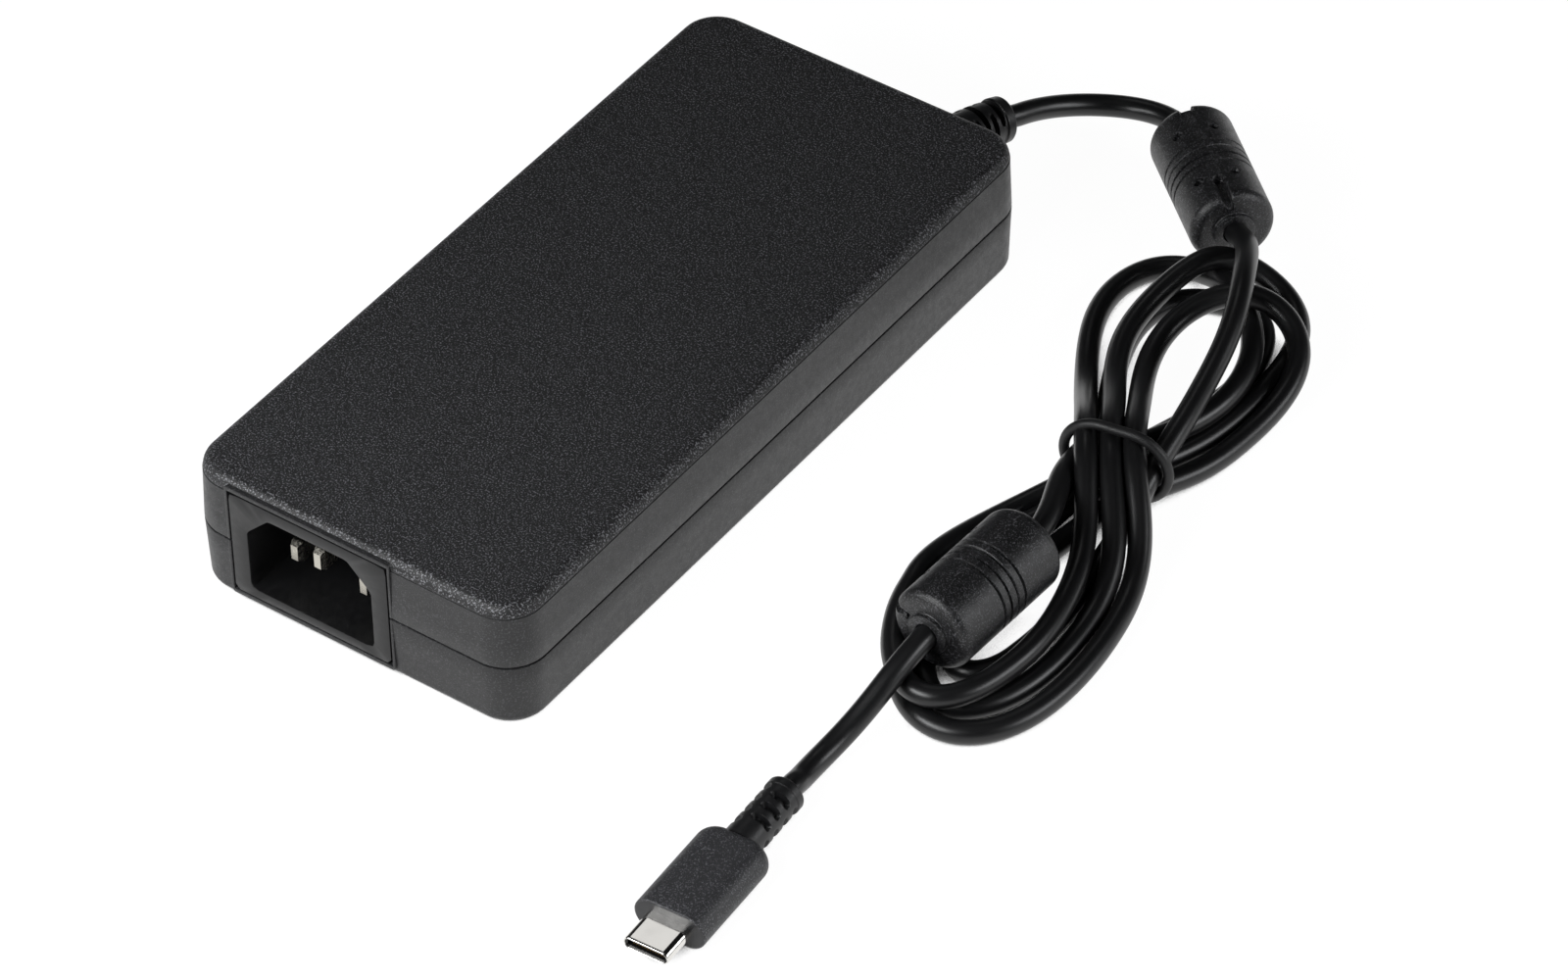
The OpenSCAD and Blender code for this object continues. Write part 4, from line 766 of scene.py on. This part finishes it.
def relief_arc(size, case, run):
    """Points of the strain relief's axis: straight out of the end, then an arc that droops about Y."""
    turn = np.clip(run, 0, None) / size.relief_radius
    droop = math.radians(size.relief_droop)
    shift = size.relief_radius * (1 - np.cos(turn))
    y = np.where(run < 0, run, size.relief_radius * np.sin(turn))
    return np.stack([size.relief_x + shift * math.cos(droop), case.length / 2 + y,
                     case.seam - shift * math.sin(droop)], 1)


def tie_point(key):
    """Where a strand crosses the tie: the tie's centre plus its distance across, at its height."""
    across, height = AT_TIE[key]
    side = turned(TIE[1] + 90)
    return (TIE[0][0] + across * side[0], TIE[0][1] + across * side[1], height)


def through(sleeve):
    """Points on the straight stretch through a sleeve: centre + run * direction, the first one outside."""
    at, angle = sleeve
    runs = [-SLEEVE_REACH - 3.0, -SLEEVE_REACH, -SLEEVE_REACH / 2, 0, SLEEVE_REACH / 2, SLEEVE_REACH]
    return [tuple(np.array(at) + r * turned(angle)) for r in runs]


def lead_route(size, case):
    """The lead's axis from the strain relief to the plug: a curve through its stations, then settled."""
    end_run = math.radians(size.relief_bend) * size.relief_radius
    start = [tuple(p) for p in relief_arc(size, case, np.array([end_run - 2.0, end_run]))]
    at, angle = PLUG
    into_boot = (35.5, 33.0)
    boot = [tuple(np.array(at) - r * turned(angle)) for r in into_boot]
    stations = start + LEAD_OUT + through(UPPER_SLEEVE) + OVER_THE_TOP
    for crossing, strand in HANK:
        stations += [tie_point(crossing)] + strand
    stations += through(LOWER_SLEEVE) + TO_THE_PLUG + boot
    step = 2.5
    path = even(flow(stations, 12), step)
    # the two ends and the stretches through the sleeves stay where they are
    held = np.zeros(len(path))
    for at, _ in (UPPER_SLEEVE, LOWER_SLEEVE):
        held[np.linalg.norm(path - np.array(at), axis=1) < SLEEVE_REACH + 1] = 1
    held[:4] = 1
    held[-5:] = 1
    path = settle(path, size.diameter + 0.02, step, held)
    return even(flow(path, 4), 1.0)


LEAD = {}


class ADAPTER_OT_lead(bpy.types.Operator):
    """Builds the output lead in its tied hank"""
    bl_idname = "adapter.lead"
    bl_label = "Output lead"

    def execute(self, context):
        size = context.scene.adapter_lead
        case = context.scene.adapter_case
        route = lead_route(size, case)
        grid = carried(route, ring(size.diameter / 2, around(size.sides)))
        lead = tube_piece("output_lead", grid, "cord_pvc", finishes()["cord"], sharp=60)
        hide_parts("cord_upper", "cord_hank", "cord_lower")
        LEAD["piece"] = lead
        LEAD["path"] = route
        return {"FINISHED"}


def slotted(run, angle, rows, pitch, first, length, width, depth, odd):
    """How deep the slots of a boot cut at each place: rows of two facing slots, each row turned a quarter.

    A slot is a rounded rectangle of its width along the run and its length round the axis, smoothly edged.
    odd is the parity of the rows that face up and down.
    """
    cut = np.zeros(np.broadcast(run, angle).shape)
    for k in range(rows):
        turn = np.pi / 2 if k % 2 == odd else 0.0
        away = np.abs((angle - turn + np.pi / 2) % np.pi - np.pi / 2)
        edge = np.abs((run - first - k * pitch) / (width / 2)) ** 3 + (away / (length / 2)) ** 5
        cut = np.maximum(cut, smoothstep((1.2 - edge) / 0.5))
    return depth * cut


class ADAPTER_OT_relief(bpy.types.Operator):
    """Builds the slotted strain relief where the lead leaves the case"""
    bl_idname = "adapter.relief"
    bl_label = "Strain relief"

    def execute(self, context):
        # a tube that narrows along its run, with a collar and a rounded rim at its tip and its slots cut in
        size = context.scene.adapter_lead
        case = context.scene.adapter_case
        end = math.radians(size.relief_bend) * size.relief_radius
        run = np.concatenate([[-1.9, -0.5], np.linspace(0.1, end - 0.3, 170), [end - 0.12, end - 0.03, end]])
        a = around(144)
        t = np.clip(run / end, 0, 1)
        root_r, taper, collar, collar_run, rim, skin_left = 5.3, 1.5, 0.3, 2.2, 0.3, 0.35
        rise = smoothstep((run - (end - collar_run)) / 0.25) - smoothstep((run - (end - 0.02)) / 0.5)
        radius = root_r - taper * t ** 0.9 + collar * rise
        radius = radius - rim * ((run - (end - rim)) / rim).clip(0) ** 2
        depth = slotted(run[:, None], a, **RELIEF_SLOTS)
        r = radius[:, None] - np.minimum(depth, (radius - size.diameter / 2 - skin_left)[:, None])
        grid = carried(relief_arc(size, case, run), ring(r, a))
        piece = tube_piece("strain_relief", grid, "relief_pvc", finishes()["relief"], sharp=40)
        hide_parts("output_relief")
        return {"FINISHED"}


def sleeve_grid(size, marks):
    """A ferrite sleeve along X: a profile turned round the axis, pressed in where its moulding marks are.

    The profile runs from the bore over the collar, the end face, the rounded edge and the barrel to the other
    end. marks is a function of (place along, radius, angle) giving how deep the marks go in and along.
    """
    reach, r, edge, collar = size.sleeve_len / 2, size.sleeve_d / 2, 1.8, 3.7
    bore = size.diameter / 2 + 0.03
    half = [(reach + 0.2, bore), (reach + 0.62, bore), (reach + 0.8, bore + 0.15),
            (reach + 0.8, collar - 0.3), (reach + 0.7, collar - 0.08), (reach + 0.5, collar),
            (reach + 0.12, collar), (reach, collar + 0.12)]
    face = [(reach, q) for q in np.linspace(collar + 0.4, r - edge - 0.02, 9)]
    arc = ring(edge, np.linspace(0, np.pi / 2, 12)) + [reach - edge, r - edge]
    barrel = np.linspace(reach - edge - 0.08, -reach + edge + 0.08, 190)
    end = np.vstack([half, face, arc])
    profile = np.vstack([end, np.stack([barrel, np.full(len(barrel), r)], 1), end[::-1] * [-1, 1]])
    theta = around(200)
    x, rad = (profile[:, k][:, None] + 0 * theta for k in (0, 1))
    depth, along = marks(x, rad, theta + 0 * x)
    rad = np.where(rad > collar + 0.5, rad - depth, rad)
    x = x - np.sign(x) * along
    return np.stack([x, -rad * np.sin(theta), rad * np.cos(theta)], 2)


def sleeve_marks(size, roll):
    """The marks of a sleeve: four grooves round it, four pin holes, a notch at one end and a keyhole.

    Each mark is its depth times a smoothstep of the distance from its middle. roll turns them about the axis.
    """
    reach, r = size.sleeve_len / 2, size.sleeve_d / 2
    groove_half, hole_r, key_back, outside = 0.17, 0.8, 5.2, 9
    groove_deep, hole_deep, key_deep, notch_deep = 0.5, 0.9, 1.3, 2.2

    def marks(x, rad, theta):
        away = (theta - math.radians(roll) + np.pi) % (2 * np.pi) - np.pi
        across = away * r
        depth = np.zeros(x.shape)
        for g in (-2.7, -0.9, 0.9, 2.7):
            depth = np.maximum(depth, groove_deep * smoothstep(1.6 - np.abs(x - g) / groove_half))
        for px, py in ((6.2, 3.3), (6.2, -3.3), (-6.2, 3.3), (-6.2, -3.3)):
            hole = smoothstep((hole_r - np.hypot(x - px, (across - py) * 0.85)) / 0.16)
            depth = np.maximum(depth, hole_deep * hole)
        head = np.hypot(x - (reach - key_back), across) / 1.05
        stem = np.where(x > reach - key_back, np.abs(across) / 0.8, outside)
        key = smoothstep((1.1 - np.minimum(head, stem)) / 0.2)
        notch = smoothstep((1.1 - np.where(x < -reach + 2.3, np.abs(across) / 1.1, outside)) / 0.2)
        depth = np.maximum(depth, np.maximum(key_deep * key, notch_deep * notch))
        depth = np.where((rad > r - 0.02) | (np.abs(x) > reach - 1.9), depth, 0)
        flat = (np.abs(x) >= reach - 0.01) & (rad < r - 1.5) & (rad > 4.2)
        narrow = smoothstep((1.2 - np.abs(away * rad) / 0.6) / 0.4)
        return np.where(flat, 0, depth), np.where(flat & (x > 0), narrow, 0)
    return marks


class ADAPTER_OT_sleeves(bpy.types.Operator):
    """Builds the two ferrite sleeves on the lead"""
    bl_idname = "adapter.sleeves"
    bl_label = "Ferrite sleeves"

    def execute(self, context):
        size = context.scene.adapter_lead
        LEAD["sleeves"] = []
        for name, place, roll, cad in (("upper_sleeve_skin", UPPER_SLEEVE, 10, "upper_sleeve"),
                                       ("lower_sleeve_skin", LOWER_SLEEVE, 75, "lower_sleeve")):
            grid = put(sleeve_grid(size, sleeve_marks(size, roll)), *place)
            piece = tube_piece(name, grid, "sleeve_plastic", finishes()["sleeve"], closed_rows=True, sharp=42)
            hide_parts(cad)
            LEAD["sleeves"].append(piece)
        return {"FINISHED"}


class ADAPTER_OT_tie(bpy.types.Operator):
    """Builds the round elastic tie about the hank's waist"""
    bl_idname = "adapter.tie"
    bl_label = "Tie"

    def execute(self, context):
        size = context.scene.adapter_lead
        # a circle carried round a slot-shaped loop: path + r cos a * axis + r sin a * outward
        across, up = stadium(size.tie_w, size.tie_h, 120).T
        path = np.stack([0 * across, across, size.tie_r + size.tie_h / 2 + up], 1)
        ahead = np.roll(path, -1, axis=0) - np.roll(path, 1, axis=0)
        ahead /= np.linalg.norm(ahead, axis=1)[:, None]
        axis = np.array([1.0, 0, 0])
        out = np.cross(ahead, axis)
        section = ring(size.tie_r, around(20))[None]
        grid = path[:, None, :] + section[:, :, :1] * axis + section[:, :, 1:] * out[:, None, :]
        grid = put(grid, (TIE[0][0], TIE[0][1], 0), TIE[1])
        piece = tube_piece("hank_tie", grid, "tie_rubber", finishes()["tie"], closed_rows=True, sharp=60)
        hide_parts("tie_band")
        LEAD["tie"] = piece
        return {"FINISHED"}


class ADAPTER_OT_plug(bpy.types.Operator):
    """Builds the plug: its boot, its grip and its metal shell"""
    bl_idname = "adapter.plug"
    bl_label = "Plug"

    def execute(self, context):
        size = context.scene.adapter_plug
        look = finishes()
        LEAD["plug"] = [self.boot(size, look), self.grip(size, look), self.shell(size, look)]
        for name, finish in (("plug_insert", "inlet"), ("plug_contacts", "contacts")):
            finish_cad(name, look[finish])
        return {"FINISHED"}

    def boot(self, size, look):
        """The boot: a slightly tapered tube with rows of slots and a collar at the lead's end."""
        run = np.concatenate([[0, 0.03, 0.12], np.linspace(0.3, size.boot_len + 0.4, 150)])
        a = around(144)
        collar, collar_run, rim, rim_in = 0.12, 1.6, 0.3, 0.25
        radius = size.boot_r - collar * smoothstep((run - collar_run) / 0.2) + collar * (run / size.boot_len)
        radius = radius - rim_in * ((rim - run) / rim).clip(0) ** 2
        r = radius[:, None] - slotted(run[:, None], a - BOOT_TURN, **BOOT_SLOTS)
        line = np.stack([-size.grip_len - size.boot_len + run, 0 * run, 0 * run], 1)
        grid = put(carried(line, ring(r, a)), *PLUG)
        piece = tube_piece("plug_boot_skin", grid, "relief_pvc", look["relief"], sharp=40)
        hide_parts("plug_boot")
        return piece

    def grip(self, size, look):
        """The grip: a stadium section whose half width and height follow a quarter ellipse at the rear."""
        back, sides = -size.grip_len, 96
        a = np.linspace(0, np.pi / 2, 16)
        edge_x, edge_w, edge_h = 2.6, 2.4, 1.0
        x = np.concatenate([back + edge_x * (1 - np.cos(a)), np.linspace(back + edge_x + 0.5, -0.5, 12),
                            [-0.3, -0.16, -0.05, 0, 0]])
        pull = np.concatenate([1 - np.sin(a), np.zeros(12), [0, 0.03, 0.12, 0.3, 0.6]])
        is_rear = np.arange(len(x)) < len(a)
        half_w = size.grip_w / 2 - np.where(is_rear, edge_w * pull, pull)
        half_h = size.grip_h / 2 - np.where(is_rear, edge_h * pull, pull)
        rows = np.stack([stadium(2 * w, 2 * h, sides) for w, h in zip(half_w, half_h)])
        grid = np.dstack([np.broadcast_to(x[:, None], rows.shape[:2]), rows])
        # the last row of faces and the front cap take the face's finish, and the rear cap the grip's
        cells = (len(x) - 1) * sides
        finish = np.zeros(cells + 2, int)
        finish[-(sides + 1):] = 1
        finish[cells] = 0
        piece = tube_piece("plug_grip_skin", put(grid, *PLUG), "grip_plastic", look["grip"], sharp=40,
                           face_materials=finish, more=(look["grip_face"],))
        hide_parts("plug_grip")
        return piece

    def shell(self, size, look):
        """The metal shell: a stadium tube with a rolled front edge, open at its mouth."""
        out, wall, root = size.shell_out, 0.3, -5.0
        # each ring is its place along the plug and how far it lies inside the shell's outer face
        grid = []
        for x, d in ((root, 0.0), (out - 0.5, 0.0), (out - 0.35, 0.0), (out - 0.12, 0.05), (out - 0.02, 0.14),
                     (out, 0.2), (out - 0.04, 0.26), (out - 0.15, wall), (root, wall)):
            outline = stadium(size.shell_w - 2 * d, size.shell_h - 2 * d, 80)
            grid.append(np.column_stack([np.full(len(outline), x), outline]))
        piece = tube_piece("plug_shell_skin", put(np.stack(grid), *PLUG), "shell_steel", look["shell"],
                           closed_rows=True, sharp=40)
        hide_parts("plug_shell")
        return piece


# The finish of each part inside the case, the sleeves and the plug; the rest are moulded epoxy.
INSIDE = {"board": "circuit_board charge_card control_card plug_card",
          "copper": "boost_winding filter_choke_windings transformer_winding output_choke",
          "ferrite": "boost_core filter_choke_core transformer_core upper_ferrite lower_ferrite",
          "aluminium": "primary_heatsink secondary_heatsink heat_spreader lower_shield",
          "screws": "heatsink_screws", "capacitor": "bulk_capacitors output_capacitors",
          "film": "filter_capacitor", "disc": "safety_capacitors varistor",
          "wire": "inlet_wires output_wires", "pad": "thermal_pads", "paper": "insulating_sheet"}


class ADAPTER_OT_inside(bpy.types.Operator):
    """Finishes the parts inside the closed case, the sleeves and the plug"""
    bl_idname = "adapter.inside"
    bl_label = "Inside parts"

    def execute(self, context):
        look = finishes()
        shown = {"line_pin", "neutral_pin", "earth_pin", "plug_insert", "plug_contacts"}
        kinds = {name: kind for kind, names in INSIDE.items() for name in names.split()}
        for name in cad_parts:
            if name not in shown:
                finish_cad(name, look[kinds.get(name, "epoxy")])
        return {"FINISHED"}


class ADAPTER_OT_declare(bpy.types.Operator):
    bl_idname = "adapter.declare"
    bl_label = "Declare the lead"

    def execute(self, context):
        return {"FINISHED"}


# ---------------------------------------------------------------- the stage

class ADAPTER_OT_camera(bpy.types.Operator):
    """Places the camera"""
    bl_idname = "adapter.camera"
    bl_label = "Camera"

    def execute(self, context):
        size = context.scene.adapter_stage
        az, el, roll = (math.radians(v) for v in (size.azimuth, size.elevation, size.roll))
        back = Vector((math.sin(az) * math.cos(el), -math.cos(az) * math.cos(el), math.sin(el)))
        level = Vector((math.cos(az), math.sin(az), 0))
        over = back.cross(level)
        right = level * math.cos(roll) + over * math.sin(roll)
        up = back.cross(right)
        at = (Vector(size.aim) + back * size.distance) * MM
        data = bpy.data.cameras.new("camera")
        data.lens = size.lens
        data.sensor_width = 36.0
        data.clip_start = 0.05
        data.clip_end = 20.0
        camera = bpy.data.objects.new("camera", data)
        camera.matrix_world = Matrix(((right.x, up.x, back.x, at.x), (right.y, up.y, back.y, at.y),
                                      (right.z, up.z, back.z, at.z), (0, 0, 0, 1)))
        context.scene.collection.objects.link(camera)
        context.scene.camera = camera
        return {"FINISHED"}


def lamp(name, at, aim, width, height, power, colour):
    """An area lamp at a place in metres, facing another place."""
    data = bpy.data.lights.new(name, "AREA")
    data.shape = "RECTANGLE"
    data.size, data.size_y = width, height
    data.energy = power
    data.color = colour
    thing = bpy.data.objects.new(name, data)
    thing.location = at
    thing.rotation_euler = (Vector(aim) - Vector(at)).to_track_quat("-Z", "Y").to_euler()
    bpy.context.scene.collection.objects.link(thing)


class ADAPTER_OT_stage(bpy.types.Operator):
    """Lays the floor and sets the light"""
    bl_idname = "adapter.stage"
    bl_label = "Stage"

    def execute(self, context):
        scene = context.scene
        size = scene.adapter_stage
        scene.view_settings.view_transform = "Standard"
        # Pale matt board: it glows white for the camera and in reflections, and is plain matt to other rays.
        # Its glow carries painted shade in narrow gaps.
        floor = bpy.data.materials.new("pale_floor")
        tree = cleared(floor)
        path = node(tree, "LightPath")
        seen = path.outputs["Is Camera Ray"]
        for kind in ("Is Glossy Ray", "Is Transmission Ray"):
            seen = node(tree, "Math", {0: seen, 1: path.outputs[kind]}, operation="MAXIMUM").outputs[0]
        part = node(tree, "Math", {0: seen, 1: 0.9}, operation="MULTIPLY")
        matt = node(tree, "BsdfDiffuse", {"Color": tuple(size.floor) + (1.0,)})
        # In a narrow gap between strands it sees little of the room, so its glow fades to nothing there:
        # painted shade between the strands.
        gap = node(tree, "AmbientOcclusion", {"Distance": 7 * MM}, samples=8)
        shut, clear = 0.14, 0.24
        glow_under_painted_gap_shade = remap(tree, gap.outputs["AO"], (shut, clear), (0.0, 1.08))
        glow = node(tree, "Emission", {"Color": (1, 1, 1, 1), "Strength": glow_under_painted_gap_shade})
        both = node(tree, "MixShader", {0: part.outputs[0], 1: matt.outputs[0], 2: glow.outputs[0]})
        node(tree, "OutputMaterial", {"Surface": both.outputs[0]})
        mesh = bpy.data.meshes.new("floor")
        far = 3.0
        mesh.from_pydata([(-far, -far, 0), (far, -far, 0), (far, far, 0), (-far, far, 0)], [], [(0, 1, 2, 3)])
        mesh.materials.append(floor)
        ground = bpy.data.objects.new("floor", mesh)
        ground.location.z = -0.0001
        scene.collection.objects.link(ground)

        world = bpy.data.worlds.new("studio")
        scene.world = world
        tree = cleared(world)
        path = node(tree, "LightPath")
        way = node(tree, "TexCoord")
        parts = node(tree, "SeparateXYZ", {0: way.outputs["Generated"]})
        low = remap(tree, parts.outputs["Z"], (0.5, 0.12), (0.008, 0.12))
        room = node(tree, "Background", {"Color": (0.94, 0.97, 1.0, 1), "Strength": low})
        white = node(tree, "Background", {"Color": (1, 1, 1, 1), "Strength": 1.0})
        both = node(tree, "MixShader", {0: path.outputs["Is Camera Ray"], 1: room.outputs[0],
                                        2: white.outputs[0]})
        node(tree, "OutputWorld", {"Surface": both.outputs[0]})

        lamp("right_softbox", (0.95, 0.3, 0.42), (0.05, 0, 0), 0.7, 0.35, 4.2, (0.97, 0.98, 1.0))
        lamp("front_softbox", (-0.05, -0.26, 0.19), (0, -0.06, 0), 0.3, 0.12, 1.1, (0.98, 0.99, 1.0))
        lamp("over_softbox", (0.2, -0.1, 1.7), (0.03, 0, 0), 0.8, 0.8, 0.3, (1.0, 1.0, 1.0))
        lamp("far_card", (-0.44, 0.57, 0.886), (0.078, -0.098, 0), 0.28, 0.28, 0.22, (1.0, 1.0, 1.0))
        return {"FINISHED"}


class ADAPTER_PT_panel(bpy.types.Panel):
    """Lists the pieces of the adapter"""
    bl_idname = "ADAPTER_PT_panel"
    bl_label = "Power adapter"
    bl_space_type = "VIEW_3D"
    bl_region_type = "UI"
    bl_category = "Adapter"

    def draw(self, context):
        for step in STEPS:
            self.layout.operator("adapter." + step)
        for group in GROUPS:
            box = self.layout.box()
            settings = getattr(context.scene, group)
            for key in settings.bl_rna.properties.keys():
                if key not in {"rna_type", "name"}:
                    box.prop(settings, key)


STEPS = ("camera", "lead", "covers", "inlet", "relief", "sleeves", "tie", "plug", "inside", "declare",
         "stage")
GROUPS = {"adapter_case": CaseSizes, "adapter_inlet": InletSizes, "adapter_lead": LeadSizes,
          "adapter_plug": PlugSizes, "adapter_stage": StageSettings}
CLASSES = tuple(GROUPS.values()) + (
    ADAPTER_OT_camera, ADAPTER_OT_lead, ADAPTER_OT_covers, ADAPTER_OT_inlet, ADAPTER_OT_relief,
    ADAPTER_OT_sleeves, ADAPTER_OT_tie, ADAPTER_OT_plug, ADAPTER_OT_inside, ADAPTER_OT_declare,
    ADAPTER_OT_stage, ADAPTER_PT_panel)


def register():
    for c in CLASSES:
        bpy.utils.register_class(c)
    for name, group in GROUPS.items():
        setattr(bpy.types.Scene, name, PointerProperty(type=group))


def unregister():
    for name in GROUPS:
        delattr(bpy.types.Scene, name)
    for c in reversed(CLASSES):
        bpy.utils.unregister_class(c)


def main():
    register()
    for step in STEPS:
        getattr(bpy.ops.adapter, step)()


if __name__ == "__main__":
    main()
